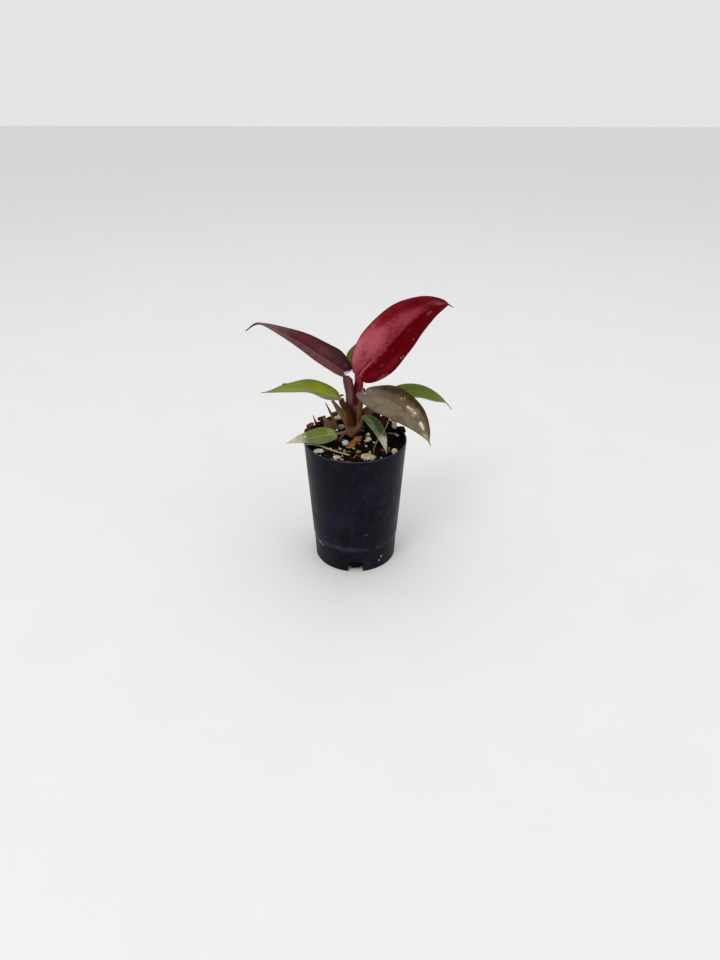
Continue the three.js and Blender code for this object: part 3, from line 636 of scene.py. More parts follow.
LEAVES = {
    "leaf_red": {
        "spine": [(3, 10, 133.7), (7.2, 12.9, 137.8), (15.4, 15.8, 145.4), (25, 18.6, 155.8),
                  (34.4, 21.5, 164.7), (45.3, 24.5, 171.8), (54.2, 27.2, 174.9), (60.1, 30.1, 175.2),
                  (64.9, 33.2, 172.4)],
        "slot": "red_leaf", "half": 18.5, "widest": 0.29, "end": 0.95, "taper": 2.16, "fold": 30,
        "roll": (-57, -40), "lobe": 3.9, "wave": 0.5, "waves": 2.3, "rib": 0.45, "thread": 0.7,
    },
    "leaf_maroon": {
        "spine": [(-6.4, 8, 135.8), (-13.3, 7.2, 141), (-22.6, 6.4, 147.9), (-34.1, 5.6, 156.3),
                  (-46, 4.9, 163.7), (-56.1, 4.1, 169.2), (-62.1, 3.3, 170.3), (-68.7, 2.5, 166.2)],
        "slot": "maroon_leaf", "half": 12.7, "widest": 0.15, "end": 0.88, "taper": 1.4, "fold": 21,
        "roll": (24, 23), "lobe": 4.3, "wave": 0.4, "waves": 2, "thread": 1.0, "near_lobe": 0.2,
    },
    "leaf_green_left": {
        "spine": [(-10.4, 6, 120.1), (-16.4, 2.9, 122.4), (-24.9, -0.2, 126), (-33.1, -3.3, 129.3),
                  (-42.2, -6.3, 130.3), (-51.1, -9.4, 130.3), (-59.9, -12.5, 130.9)],
        "slot": "lime_leaf", "half": 10.5, "widest": 0.26, "end": 0.97, "taper": 1.48, "fold": 16,
        "roll": (18, 0), "lobe": 0.5, "wave": 0.5, "waves": 2.6, "nick": (0.7, 0.2),
    },
    "leaf_bronze": {
        "spine": [(6.6, 4, 124.8), (13.2, -2.3, 125.1), (21.8, -8.6, 123.7), (30.3, -14.9, 120.4),
                  (37.7, -21.3, 116.8), (43.6, -27.6, 111), (47.5, -33.9, 103.9)],
        "slot": "bronze_leaf", "half": 16, "widest": 0.32, "end": 0.96, "taper": 1.38, "fold": 3,
        "roll": (-2, -24), "lobe": 3.5, "wave": 0.5, "waves": 2, "ruffle": 0.5,
    },
    "leaf_green_right": {
        "spine": [(20.7, 22, 110.7), (30.7, 23.2, 115), (41, 24.4, 115.6), (52.1, 25.6, 112.3),
                  (62.6, 26.8, 107.6), (68.8, 28, 100.7)],
        "slot": "green_leaf", "half": 9.9, "widest": 0.39, "end": 0.88, "taper": 2.08, "fold": 8,
        "roll": (-4, -14), "lobe": 2, "wave": 0.4, "waves": 2, "thread": 0.75,
    },
    "leaf_olive": {
        "spine": [(0.6, 18.6, 134.3), (0.5, 21.1, 139.7), (3.9, 25.1, 145.1), (9.9, 29.6, 149),
                  (15.7, 33, 150.2)],
        "slot": "olive_leaf", "half": 7.2, "widest": 0.27, "end": 0.94, "taper": 1.49, "fold": 13,
        "roll": (-30, -30), "lobe": 1.5, "wave": 0.4, "waves": 2,
    },
    "leaf_small_front": {
        "spine": [(5.6, 3.4, 107.2), (10.8, -1.9, 105.5), (14.8, -7.9, 101.5), (18.1, -13.8, 97.2),
                  (20.7, -19.7, 90.8)],
        "slot": "deep_green_leaf", "half": 6.4, "widest": 0.36, "end": 0.98, "taper": 1.54, "fold": 10,
        "roll": (10, 28), "lobe": 0.5, "wave": 0.3, "waves": 2,
    },
    "leaf_small_left": {
        "spine": [(-13.7, 1.2, 94.7), (-20.9, -2.8, 95.4), (-28.2, -5.6, 95.1), (-36.3, -8, 95.4),
                  (-46.2, -10.2, 93.6)],
        "slot": "pale_green_leaf", "half": 7.2, "widest": 0.3, "end": 0.98, "taper": 1.5, "fold": 10,
        "roll": (26, 17), "lobe": 1.2, "wave": 0.3, "waves": 2,
    },
}

# The colours of a leaf, in the order that its look lists them. Left and right are the halves of its upper
# face, seen from above and looking out along it. Deep is its mottling, and thread its drip tip.
SKIN = (
    "right", "left", "cloud", "base", "deep", "tip", "vein", "rib", "rim", "thread", "under",
    "under_cloud",
)
# What a leaf has where its look doesn't say. Words in -ed and plurals are strengths, and sizes and widths are
# millimetres.
PLAIN_LOOK = {
    "cloud_size": 7.0, "clouds": 0.5, "mottle_size": 1.3, "mottled": 0.22, "base_reach": 0.3, "based": 0.6,
    "tip_start": 0.72, "tip_end": 1.0, "tipped": 0.7, "veined": 0.16, "rib_width": 0.9, "ribbed": 0.8,
    "rib_end": 1.0, "rib_left": 0.3, "specks": 0.25, "speck": (190, 170, 165), "rim_width": 0.65,
    "rimmed": 0.9, "relief": -0.04, "waviness": 0.5, "rough": 0.4, "shine": 0.04, "glow": 0.08,
}


def leaf_look(colours, marks=(), **values):
    """A leaf's look: its colours as on a screen, its marks as Paint.blotches takes them, and other values."""
    return {**PLAIN_LOOK, **dict(zip(SKIN, colours)), "marks": marks, **values}


LOOKS = {
    "leaf_red": leaf_look(
        # Colours: the left half is lighter than the right partly as painted light on that side of the fold.
        [(92, 1, 10), (124, 18, 34), (80, 0, 8), (150, 40, 56), (84, 0, 8), (86, 10, 18), (150, 60, 72),
         (190, 88, 102), (44, 6, 12), (30, 20, 18), (112, 24, 40), (86, 12, 24)],
        # Marks: the pink and dusty-pink patches over the left half and the greyish patches near the tip are
        # painted sheen; the dark crimson streaks and blotches and the cream specks are the leaf's own colour.
        [(0.22, -0.58, 0.27, 0.64, (178, 82, 94), 0.9, 0.8),
         (0.3, -0.42, 0.15, 0.4, (184, 92, 104), 0.5, 1.0),
         (0.56, -0.26, 0.19, 0.34, (160, 64, 74), 0.85, 1.0),
         (0.3, 0.03, 0.3, 0.08, (150, 46, 60), 0.5, 0.9),
         (0.14, -0.86, 0.12, 0.22, (204, 106, 118), 0.7, 0.9),
         (0.45, -0.74, 0.08, 0.17, (124, 12, 28), 0.8, 0.8),
         (0.16, -0.47, 0.035, 0.13, (140, 38, 52), 0.6, 0.9),
         (0.11, -0.1, 0.05, 0.025, (112, 18, 32), 0.8, 0.3),
         (0.7, -0.6, 0.12, 0.26, (94, 2, 14), 0.7, 1.0),
         (0.83, -0.4, 0.06, 0.28, (112, 54, 58), 0.85, 0.9),
         (0.88, -0.2, 0.05, 0.22, (136, 78, 82), 0.7, 0.8),
         (0.745, 0.31, 0.034, 0.17, (116, 52, 60), 0.9, 0.4),
         (0.25, 0.72, 0.11, 0.2, (118, 24, 36), 0.6, 1.0),
         (0.14, 0.92, 0.05, 0.12, (124, 54, 62), 0.7, 0.8),
         (0.09, 0.55, 0.07, 0.28, (112, 14, 26), 0.6, 1.0),
         (0.195, 0.45, 0.022, 0.07, (126, 36, 48), 0.6, 0.7),
         (0.335, 0.35, 0.018, 0.06, (120, 30, 42), 0.6, 0.7),
         (0.53, 0.3, 0.02, 0.06, (126, 38, 50), 0.6, 0.7),
         (0.332, 0.885, 0.006, 0.022, (226, 176, 168), 0.8, 0.2),
         (0.352, 0.905, 0.012, 0.03, (186, 106, 108), 0.7, 0.3),
         (0.505, 0.775, 0.012, 0.03, (170, 80, 88), 0.7, 0.4)],
        tip_start=0.62, tipped=0.6, based=0.0, clouds=0.4, veined=0.04, relief=-0.012, specks=0.2,
        rib_width=1.0, rib_end=0.22, rib_left=0.0, shine=0.02, glow=0.1, cloud_size=8.0,
    ),
    "leaf_maroon": leaf_look(
        [(80, 40, 44), (120, 74, 76), (92, 42, 46), (56, 24, 32), (46, 18, 22), (122, 102, 94),
         (116, 68, 70), (150, 98, 98), (38, 18, 20), (52, 26, 24), (104, 62, 66), (76, 38, 44)],
        [(0.48, 0.6, 0.14, 0.3, (108, 42, 48), 0.6, 1.0),
         (0.28, 0.42, 0.08, 0.32, (104, 64, 64), 0.5, 1.0), (0.07, 0.35, 0.1, 0.6, (64, 34, 40), 0.6, 1.0),
         (0.2, 0.92, 0.28, 0.14, (54, 26, 28), 0.6, 0.7),
         (0.06, 0.45, 0.02, 0.12, (104, 74, 84), 0.5, 0.8),
         (0.0, 0.0, 0.02, 1.2, (220, 204, 202), 0.8, 0.4)],
        tip_start=0.5, tip_end=0.85, tipped=0.85, based=0.35, base_reach=0.15, veined=0.05, relief=-0.015,
        rough=0.42, specks=0.2, ribbed=0.5, mottle_size=1.0, mottled=0.6, cloud_size=4.0, clouds=0.6,
    ),
    "leaf_green_left": leaf_look(
        [(134, 142, 54), (140, 146, 86), (120, 130, 46), (150, 152, 20), (106, 114, 34), (120, 126, 74),
         (158, 166, 96), (168, 172, 104), (88, 90, 48), (84, 62, 60), (110, 120, 66), (92, 100, 54)],
        [(0.26, 0.34, 0.15, 0.55, (158, 160, 20), 0.85, 1.0),
         (0.32, 0.96, 0.32, 0.12, (112, 118, 34), 0.5, 0.7),
         (0.31, -0.22, 0.07, 0.18, (104, 100, 40), 0.6, 0.8),
         (0.12, -0.7, 0.15, 0.42, (114, 118, 86), 0.85, 0.6),
         (0.02, 0.0, 0.04, 1.2, (156, 108, 50), 0.8, 0.7), (0.6, 0.6, 0.14, 0.3, (118, 128, 62), 0.5, 1.0)],
        based=0.3, rough=0.42, glow=0.15, specks=0.1, tip_start=0.5,
    ),
    "leaf_bronze": leaf_look(
        [(118, 106, 86), (102, 86, 64), (88, 74, 54), (120, 104, 98), (72, 58, 42), (112, 108, 80),
         (128, 116, 96), (128, 114, 92), (60, 40, 22), (92, 66, 50), (112, 92, 78), (92, 70, 56)],
        # Marks: the whitish patches from the middle towards the tip and the two pale spots beside the notch
        # at the base are painted gloss highlights; the dark brown patches and small tan specks are the leaf's
        # own colour.
        [(0.46, -0.62, 0.2, 0.26, (92, 70, 40), 0.7, 1.0),
         (0.24, -0.72, 0.19, 0.34, (58, 40, 28), 0.92, 0.8),
         (0.56, -0.92, 0.34, 0.32, (56, 40, 14), 0.95, 0.6),
         (0.84, -0.88, 0.16, 0.34, (98, 58, 26), 0.85, 0.6),
         (0.25, 0.28, 0.06, 0.22, (138, 122, 106), 0.5, 1.0),
         (0.6, -0.28, 0.09, 0.24, (152, 142, 122), 0.65, 1.0),
         (0.525, -0.31, 0.026, 0.075, (208, 200, 178), 0.85, 0.5),
         (0.56, -0.33, 0.026, 0.08, (196, 186, 164), 0.8, 0.6),
         (0.62, -0.31, 0.022, 0.08, (202, 190, 170), 0.85, 0.5),
         (0.635, -0.08, 0.025, 0.08, (168, 158, 136), 0.7, 0.7),
         (0.63, -0.54, 0.035, 0.1, (136, 124, 108), 0.6, 0.8),
         (0.775, -0.08, 0.05, 0.22, (190, 190, 164), 0.9, 0.7),
         (0.75, -0.2, 0.032, 0.1, (224, 224, 204), 0.9, 0.4),
         (0.8, -0.03, 0.036, 0.07, (228, 226, 206), 0.9, 0.4),
         (0.9, 0.35, 0.07, 0.6, (162, 156, 130), 0.8, 0.8),
         (0.4, -0.487, 0.01, 0.05, (220, 192, 136), 0.85, 0.2),
         (0.42, -0.61, 0.008, 0.03, (204, 176, 122), 0.8, 0.3),
         (0.47, 0.025, 0.007, 0.03, (196, 176, 138), 0.7, 0.3),
         (0.05, 0.29, 0.014, 0.1, (226, 214, 214), 0.85, 0.4),
         (0.047, -0.33, 0.012, 0.08, (200, 184, 182), 0.8, 0.5)],
        tip_start=0.62, tipped=0.8, based=0.8, rough=0.36, ribbed=0.2, rib_width=0.6, rimmed=0.8,
        specks=0.5, speck=(214, 194, 160), clouds=0.8, waviness=0.9, veined=0.1,
    ),
    "leaf_green_right": leaf_look(
        [(82, 108, 16), (94, 108, 30), (72, 96, 10), (94, 100, 38), (64, 86, 10), (132, 130, 86),
         (118, 142, 60), (118, 136, 66), (84, 92, 56), (64, 34, 28), (108, 124, 66), (90, 108, 54)],
        [(0.48, 0.95, 0.42, 0.17, (136, 144, 102), 0.9, 0.4),
         (0.45, -0.85, 0.4, 0.22, (96, 106, 52), 0.7, 0.8)],
        rough=0.42, glow=0.15, tip_start=0.55, ribbed=0.4, veined=0.08,
    ),
    "leaf_olive": leaf_look(
        [(118, 112, 50), (112, 108, 48), (96, 90, 42), (124, 114, 58), (82, 76, 36), (112, 96, 60),
         (134, 128, 72), (146, 138, 84), (98, 84, 50), (74, 50, 34), (124, 114, 64), (100, 90, 50)],
    ),
    "leaf_small_front": leaf_look(
        [(118, 128, 94), (76, 92, 46), (68, 86, 44), (88, 100, 72), (56, 72, 38), (214, 202, 190),
         (122, 140, 102), (118, 132, 98), (146, 154, 130), (190, 172, 156), (112, 122, 92), (94, 104, 74)],
        [(0.38, -0.2, 0.16, 0.3, (64, 92, 40), 0.7, 1.0), (0.26, -0.7, 0.14, 0.24, (62, 66, 34), 0.7, 0.9),
         (0.52, 0.6, 0.16, 0.4, (112, 120, 88), 0.6, 1.0)],
        tip_start=0.5, tip_end=0.74, tipped=0.95, rough=0.42, rimmed=0.75, veined=0.08,
    ),
    "leaf_small_left": leaf_look(
        [(118, 128, 58), (106, 118, 74), (96, 108, 52), (158, 160, 84), (76, 90, 42), (222, 212, 186),
         (140, 154, 100), (146, 158, 104), (132, 142, 98), (206, 198, 184), (124, 132, 96), (104, 112, 78)],
        [(0.3, 0.25, 0.14, 0.4, (116, 130, 44), 0.7, 1.0),
         (0.05, -0.1, 0.05, 0.6, (156, 136, 72), 0.6, 0.9),
         (0.11, 0.4, 0.07, 0.45, (154, 164, 94), 0.7, 0.9),
         (0.42, -0.55, 0.14, 0.34, (118, 126, 96), 0.7, 0.9),
         (0.615, 0.3, 0.02, 0.11, (250, 246, 240), 0.95, 0.3)],
        tip_start=0.55, tip_end=0.9, tipped=0.95, rough=0.42, rimmed=0.5, based=0.8, base_reach=0.18,
        veined=0.1,
    ),
}


# Stalks: a round or flattened section along a path, with a shallow groove where one is given
# A mesh holds how many steps and sides a stalk has, how ridged it is, and how round its ends are.
STALK_MESH = 60, 28, 0.03, 0.5


def stalk(spec):
    """A stalk or strip: points, faces and corner maps."""
    steps, sides, ridges, cap = spec.get("mesh", STALK_MESH)
    curve = Curve(spec["path"])
    t = np.linspace(0, 1, steps + 1)
    centre, along = curve.read(t)
    facing = np.array(spec.get("facing", (0, -1, 0)), float)
    front = unit(facing - (along @ facing)[:, None] * along)
    across = np.cross(along, front)
    radius = smooth_list(spec["radii"], t)
    turn = (np.arange(sides) + 0.5) * 2 * np.pi / sides
    bulge = spec.get("rings", 0) * np.maximum(0, np.cos(curve.length * t * 2 * np.pi / RING_SPACING) - 0.6)
    groove = 1 - spec.get("groove", 0) * np.maximum(0, np.cos(turn)) ** 4
    fibre = ridges * np.sin(turn * 7 + 1.3 * np.sin(3 * t)[:, None]) * np.sin(np.pi * t)[:, None]
    torn = spec.get("ragged", 0) * (noise(9 * t[:, None], 3 + 1.5 * np.cos(turn), 4) - 0.5)
    reach = (radius + bulge)[:, None] * groove * (1 + fibre + torn)
    flat = spec.get("flat", 1)
    ring = front[:, None] * (reach * np.cos(turn) * flat)[..., None]
    ring = ring + across[:, None] * (reach * np.sin(turn))[..., None]
    middle = centre[:, None]
    caps = [(math.cos(a), math.sin(a)) for a in np.radians([75, 50, 25])]
    first = [middle[0] + ring[0] * c - along[0] * radius[0] * flat * cap * s for c, s in caps]
    last = [middle[-1] + ring[-1] * c + along[-1] * radius[-1] * flat * cap * s for c, s in caps[::-1]]
    rings = np.concatenate([first, middle + ring, last])
    share = np.concatenate([[0, 0, 0], t, [1, 1, 1]])
    around = np.arange(sides + 1) / sides + 0.5
    around = around - np.floor(around - 1e-9)
    pair = np.stack(np.broadcast_arrays(around, share[:, None]), -1)
    return loft(rings, {"length": pair, "tint": np.full_like(pair, 0.5)})


# Sheaths: thin arcs in plan that clasp the stem and lean off it
# Each section holds height, centre x, centre y, inner radius, thickness, first angle, last angle.
SHEATH_STEPS = 80
SHEATH_ARCS = 36


def sheath(sections):
    t = np.linspace(0, 1, SHEATH_STEPS + 1)
    z, x, y, radius, thick, first, last = [smooth_list(column, t)[:, None] for column in zip(*sections)]
    k = np.linspace(0, 1, SHEATH_ARCS + 1)
    angle = np.radians(first + (last - first) * k)
    edge = 0.35 + 0.65 * np.sin(np.pi * k)
    ripple = 0.1 * np.sin(k * 26 + 2 * np.sin(4 * t[:, None])) * np.sin(np.pi * k)
    outer = radius + thick + ripple
    inner = np.maximum(radius + thick * (1 - edge), 0.1)
    def arc(r):
        return np.stack([x + r * np.cos(angle), y + r * np.sin(angle), np.broadcast_to(z, r.shape)], -1)
    rings = np.concatenate([arc(outer), arc(inner)[:, ::-1]], 1)
    around = np.concatenate([k, k[::-1], k[:1]])
    pair = np.stack(np.broadcast_arrays(around, t[:, None]), -1)
    return loft(rings, {"length": pair, "tint": np.full_like(pair, 0.5)})


STEM = {
    "path": [(STEM_X, STEM_Y, 76), (STEM_X, STEM_Y, 92), (-2, 9.7, 102), (-0.8, 9.8, 112)],
    "radii": [3.2, 4.6, 4.1, 3.2], "rings": 0.6, "mesh": (90, 40, 0.03, 0.5),
}
ROOT_PATHS = [
    [(-5, 8, 93.5), (-10, 3.5, 90.5), (-12, 0, 85)],
    [(0.5, 9.5, 92.8), (6, 12.6, 91.4), (10, 15.4, 85)],
]
ROOTS = [{"path": path, "radii": [0.9, 0.7, 0.5], "mesh": (30, 14, 0.12, 0.5)} for path in ROOT_PATHS]
SHEATHS = {
    "sheath_green_left": [
        (99, STEM_X, STEM_Y, 5, 0.9, 215, 290),
        (104, -2.2, 9.8, 5.1, 0.9, 205, 303),
        (109, -2.8, 9.5, 5.2, 0.9, 195, 300),
        (114, -4.9, 9, 5, 0.9, 180, 280),
        (117.6, -8, 7.6, 2.3, 1.1, 170, 285),
        (119.4, -9.6, 6.5, 0.5, 1.2, 120, 330),
    ],
    "sheath_maroon": [
        (104.5, -1.7, 9.7, 4.5, 0.8, 165, 262),
        (112, -1.5, 9.4, 4, 0.8, 160, 268),
        (121, -2.9, 8.4, 2.7, 0.8, 140, 315),
        (129, -4.2, 8.2, 2.9, 0.8, 140, 325),
        (132.6, -4.7, 8.2, 2.6, 0.9, 130, 325),
        (134.8, -6.0, 8.1, 1.1, 0.9, 110, 320),
    ],
}
STALKS = {
    "stalk_red": {
        "path": [(-0.5, 10.1, 112.9), (1.6, 10.3, 122), (3.2, 10, 133.2)],
        "radii": [3.1, 3.4, 2.6], "flat": 0.8, "groove": 0.45,
    },
    "stalk_bronze": {
        "path": [(1.6, 7.6, 100.5), (2.4, 6.4, 108), (3.6, 5.6, 115), (5.3, 4.7, 120.6), (6.4, 4.2, 124)],
        "radii": [2.3, 2.2, 2, 1.6, 1.4],
    },
    "stalk_green_right": {
        "path": [(1, 10.4, 98.5), (7.2, 11.8, 105.4), (14, 15.2, 109), (20.2, 21.6, 110.2)],
        "radii": [2.4, 3.6, 2.5, 1.2],
    },
    "stalk_olive": {
        "path": [(-1, 13.2, 103), (0.4, 15, 112), (1, 15.9, 123), (0.8, 17.8, 133.9)],
        "radii": [1.9, 1.7, 1.5, 1.2],
    },
    "stalk_small_front": {
        "path": [(-0.6, 7, 93.8), (3, 4.9, 99), (4.6, 4, 103.6), (5.4, 3.6, 106.7)],
        "radii": [2.3, 2, 1.3, 0.9],
    },
    "stalk_small_left": {
        "path": [(-6, 9, 92.3), (-9.6, 5.6, 93.1), (-13.4, 1.5, 94.3)],
        "radii": [1.2, 1.1, 0.9],
    },
    "bare_stalk": {
        "path": [(-6.2, 12.8, 97.5), (-10.4, 13.4, 105.6), (-15.6, 13, 114.2)],
        "radii": [1.6, 2, 1.1], "flat": 0.5,
    },
}
DRY_SHEATH = [
    {
        "path": [(-13, 15, 87), (-14.6, 14.8, 97), (-17.4, 15.4, 104.6), (-20.4, 16, 111)],
        "radii": [1.5, 1.4, 0.8, 0.35], "flat": 0.6, "mesh": (60, 24, 0.1, 0.2),
    },
    {
        "path": [(-14.5, 13.6, 87.5), (-17.6, 13, 94.5), (-21.6, 13, 101.4)],
        "radii": [2.4, 4, 0.8], "flat": 0.3, "mesh": (60, 24, 0.1, 0.2),
    },
]
RIM_SPLINTER = {
    "path": [(-26, 18.5, 88), (-27.6, 19, 94), (-29.6, 19.4, 100)],
    "radii": [1.1, 0.8, 0.3], "flat": 0.5, "mesh": (40, 16, 0.12, 0.2),
}
DRY_SCRAP = {
    "path": [(4.6, 6.2, 90), (1.6, 1.6, 90.6), (-1.6, -3.2, 89.6), (-4.6, -7.6, 87.9)],
    "radii": [1, 2.1, 1.9, 0.8], "flat": 0.26, "facing": (0.4, -0.3, 1), "ragged": 0.5,
    "mesh": (60, 28, 0.12, 0.2),
}
STRAW_STRIP = {
    "path": [(-34.4, -10.8, 93.2), (-31.4, -10.6, 93), (-24, -8.6, 90.9), (-16, -10.7, 88.7),
             (-4, -16.3, 87.7)],
    "radii": [0.6, 0.7, 0.8, 0.8, 0.6], "flat": 0.5, "facing": (0, 0, 1), "mesh": (70, 16, 0.12, 0.3),
}
FIBRE_RIGHT = {
    "path": [(21.6, 10.9, 90.4), (25.4, 10, 90.6), (28.6, 8.9, 90.8)],
    "radii": [0.4, 0.4, 0.4], "mesh": (24, 12, 0.1, 0.3),
}
# Small scars: a dry spur where the left green leaf meets its sheath, and a dark nub at the bronze leaf's
# notch
SPUR = {
    "path": [(-11, 6, 120.3), (-9.2, 6, 121), (-7.3, 6, 121.1)],
    "radii": [0.5, 0.8, 0.3], "flat": 0.6, "mesh": (24, 14, 0.2, 0.3),
}
NUB_PLACE, NUB_RADII = (5.9, 3, 126.3), (0.7, 0.7, 1.3)
FIBRE_ARCH = {
    "path": [(23.5, 15, 100), (21.5, 4.5, 99.4), (19.5, -6.5, 102), (16.8, -16.5, 102.5), (14.6, -18.6, 99.9),
             (12.8, -16.3, 94), (12.2, -13, 87.2)],
    "radii": [0.32, 0.3, 0.32], "mesh": (90, 12, 0.1, 0.3),
}


# A stalk's look holds its colour at the foot, at the top, down its middle and of its fibres, how rough it is,
# how much of its width the middle takes, and its marks.
STEM_LOOK = (112, 78, 64), (82, 50, 40), (126, 94, 80), (66, 40, 34), 0.55
DRY_LOOKS = {
    "dry_spike": ((124, 88, 56), (126, 78, 32), (146, 100, 54), (78, 48, 24), 0.8, 0.35, [
        (1.0, 0.5, 0.22, 1.0, (74, 64, 58), 0.8, 0.8)]),
    "dry_scale": ((132, 102, 82), (116, 80, 50), (154, 118, 92), (86, 58, 42), 0.8, 0.35, [
        (0.6, 0.62, 0.4, 0.12, (128, 78, 34), 0.7, 0.8)]),
}
# The slot and the look of each stalk and sheath
CROWN_LOOKS = {
    "sheath_maroon": ("maroon_stalk", (100, 68, 62), (124, 66, 68), (116, 78, 76), (82, 36, 40), 0.42, 0.3, [
        (0.55, 0.97, 0.5, 0.15, (58, 18, 24), 0.85, 0.6), (0.6, 0.08, 0.5, 0.2, (130, 92, 86), 0.75, 0.7),
        (0.98, 0.7, 0.06, 0.6, (60, 34, 34), 0.8, 0.5), (0.78, 0.8, 0.14, 0.12, (112, 40, 48), 0.6, 0.8),
        (0.42, 0.78, 0.1, 0.07, (128, 122, 106), 0.5, 0.8), (0.08, 0.5, 0.22, 0.8, (62, 34, 22), 0.95, 0.5)]),
    "sheath_green_left": ("brown_sheath", (96, 60, 30), (136, 92, 50), (84, 48, 24), (58, 30, 14), 0.5, 0.3, [
        (0.45, 0.08, 0.6, 0.3, (146, 100, 54), 0.85, 0.8), (0.4, 0.95, 0.65, 0.36, (42, 14, 5), 0.95, 0.8)]),
    "stalk_red": ("red_stalk", (78, 14, 18), (164, 50, 64), (124, 34, 42), (64, 4, 12), 0.38, 0.3, [
        (0.6, 0.34, 0.36, 0.13, (72, 2, 6), 0.9, 0.7), (0.62, 0.63, 0.46, 0.09, (132, 62, 60), 0.85, 0.7),
        (0.95, 0.48, 0.22, 0.32, (168, 44, 62), 0.85, 0.9)]),
    "stalk_bronze": ("olive_stalk", (60, 34, 20), (104, 76, 44), (112, 84, 46), (58, 30, 20), 0.45, 0.25),
    "stalk_green_right": ("rosy_stalk", (66, 24, 16), (152, 110, 96), (124, 78, 66), (80, 30, 22)),
    "stalk_olive": ("olive_leaf", (96, 78, 48), (110, 104, 56), (104, 96, 52), (78, 60, 38), 0.5),
    "stalk_small_front": ("rosy_stalk", (116, 78, 62), (116, 84, 60), (128, 88, 68), (74, 46, 36), 0.55),
    "stalk_small_left": ("dry_sheath", (132, 108, 84), (146, 126, 90), (152, 130, 100), (96, 74, 56), 0.6),
    "bare_stalk": ("dry_sheath", (118, 82, 52), (136, 118, 94), (150, 130, 102), (84, 56, 38), 0.6, 0.2),
}
FIBRE_LOOK = (150, 134, 108), (128, 104, 80), (168, 154, 130), (96, 76, 56), 0.75
# Each strip's shape, slot, the nodes that it replaces, and its look
STRIPS = {
    "splinter": (RIM_SPLINTER, "dry_leaf", ("rim_splinter",), (
        (96, 58, 30), (150, 108, 66), (128, 80, 42), (70, 40, 20), 0.8)),
    "scar_spur": (SPUR, "brown_sheath", (), ((84, 74, 58), (96, 86, 70), (112, 102, 84), (50, 40, 30), 0.6)),
    "leaf_scrap": (DRY_SCRAP, "dry_leaf", ("dry_scrap",), (
        (150, 92, 38), (120, 116, 44), (164, 108, 52), (84, 46, 20), 0.75, 0.35, [
            (0.25, 0.6, 0.16, 0.14, (92, 96, 36), 0.8, 0.7),
            (0.75, 0.42, 0.14, 0.1, (190, 132, 66), 0.7, 0.7),
            (0.5, 0.35, 0.1, 0.1, (84, 48, 20), 0.8, 0.7)])),
    "straw": (STRAW_STRIP, "straw", ("straw_strip",), (
        (206, 186, 152), (96, 74, 52), (196, 176, 142), (110, 88, 62), 0.75)),
    "fibre_arch": (FIBRE_ARCH, "straw", ("dry_fibre_arch",), FIBRE_LOOK),
    "fibre_right": (FIBRE_RIGHT, "straw", ("dry_fibre_right",), FIBRE_LOOK),
}


def add_crown():
    """The stem, the stalks and sheaths on it, and the dry ones beside it."""
    points, faces, maps = merge([stalk(spec) for spec in (STEM, *ROOTS)])
    skin = stalk_paint("stem_skin", *STEM_LOOK)
    add_piece("stem_and_roots", points, faces, [skin], "stem", ("stem",), maps)
    for node, (slot, *look) in CROWN_LOOKS.items():
        points, faces, maps = sheath(SHEATHS[node]) if node in SHEATHS else stalk(STALKS[node])
        add_piece("skin_" + node, points, faces, [stalk_paint(node + "_skin", *look)], slot, (node,), maps)
    stubs = [stalk(spec) for spec in DRY_SHEATH]
    points, faces, maps = merge(stubs)
    shares = np.repeat([0, 1], [len(faces) for _, faces, _ in stubs])
    skins = [stalk_paint(name, *look) for name, look in DRY_LOOKS.items()]
    add_piece("dry_stubs", points, faces, skins, "dry_sheath", ("dry_sheath",), maps, shares)
    for name, (spec, slot, nodes, look) in STRIPS.items():
        points, faces, maps = stalk(spec)
        add_piece(name, points, faces, [stalk_paint(name + "_skin", *look)], slot, nodes, maps)
    points, faces = pebble(NUB_PLACE, NUB_RADII, 0, 3)
    skin = grain_paint("nub_skin", (20, 12, 12), (48, 30, 28), 1.0, 0.0, 0.7)
    add_piece("scar_nub", points, faces, [skin], "olive_stalk", (), one_tint(faces, STONE_TINT))


# Soil, and what lies loose on it


def soil_height(x, y):
    rise = SOIL_RISE * smoothstep(-8, 30, y)
    away = np.hypot(x - STEM_X, y - STEM_Y) / MOUND_RADIUS
    mound = MOUND_HEIGHT * np.exp(-away * away)
    heap = HEAP_HEIGHT * smoothstep(20, 31, np.hypot(x, y)) * smoothstep(2, 20, y)
    dip = SOIL_DIP * smoothstep(20, 33, x) * (1 - smoothstep(0, 18, y))
    clods = CLOD_HEIGHT * (noise(x / CLOD_SIZE + 20, y / CLOD_SIZE + 20) - 0.5)
    return SOIL_FRONT + rise + mound + heap - dip + clods


def add_soil():
    share = np.concatenate([[1, 1, 1], np.linspace(1, 0.004, SOIL_RINGS)])
    turn = np.arange(SOIL_SIDES) * 2 * np.pi / SOIL_SIDES
    radius = SOIL_EDGE * share[:, None]
    x, y = radius * np.cos(turn), radius * np.sin(turn)
    crumbled = 1.6 * (noise(x / 1.7 + 50, y / 1.7 + 50, 3) - 0.5)
    gritty = 0.9 * (noise(x / 0.8 + 9, y / 0.8 + 9, 5) - 0.5)
    z = soil_height(x, y) + crumbled + gritty
    rings = np.stack([x, y, z], -1)
    lower = (SOIL_FOOT_RADIUS, FLOOR_TOP + 0.4), (SOIL_STEP_RADIUS, STEP_HEIGHT + 1)
    for row, (edge, height) in enumerate(lower):
        rings[row, :, :2] *= edge / SOIL_EDGE
        rings[row, :, 2] = height
    points, faces, _ = loft(rings, {})
    add_piece("potting_mix", points, faces, [soil_paint()], "potting_mix", ("soil",))


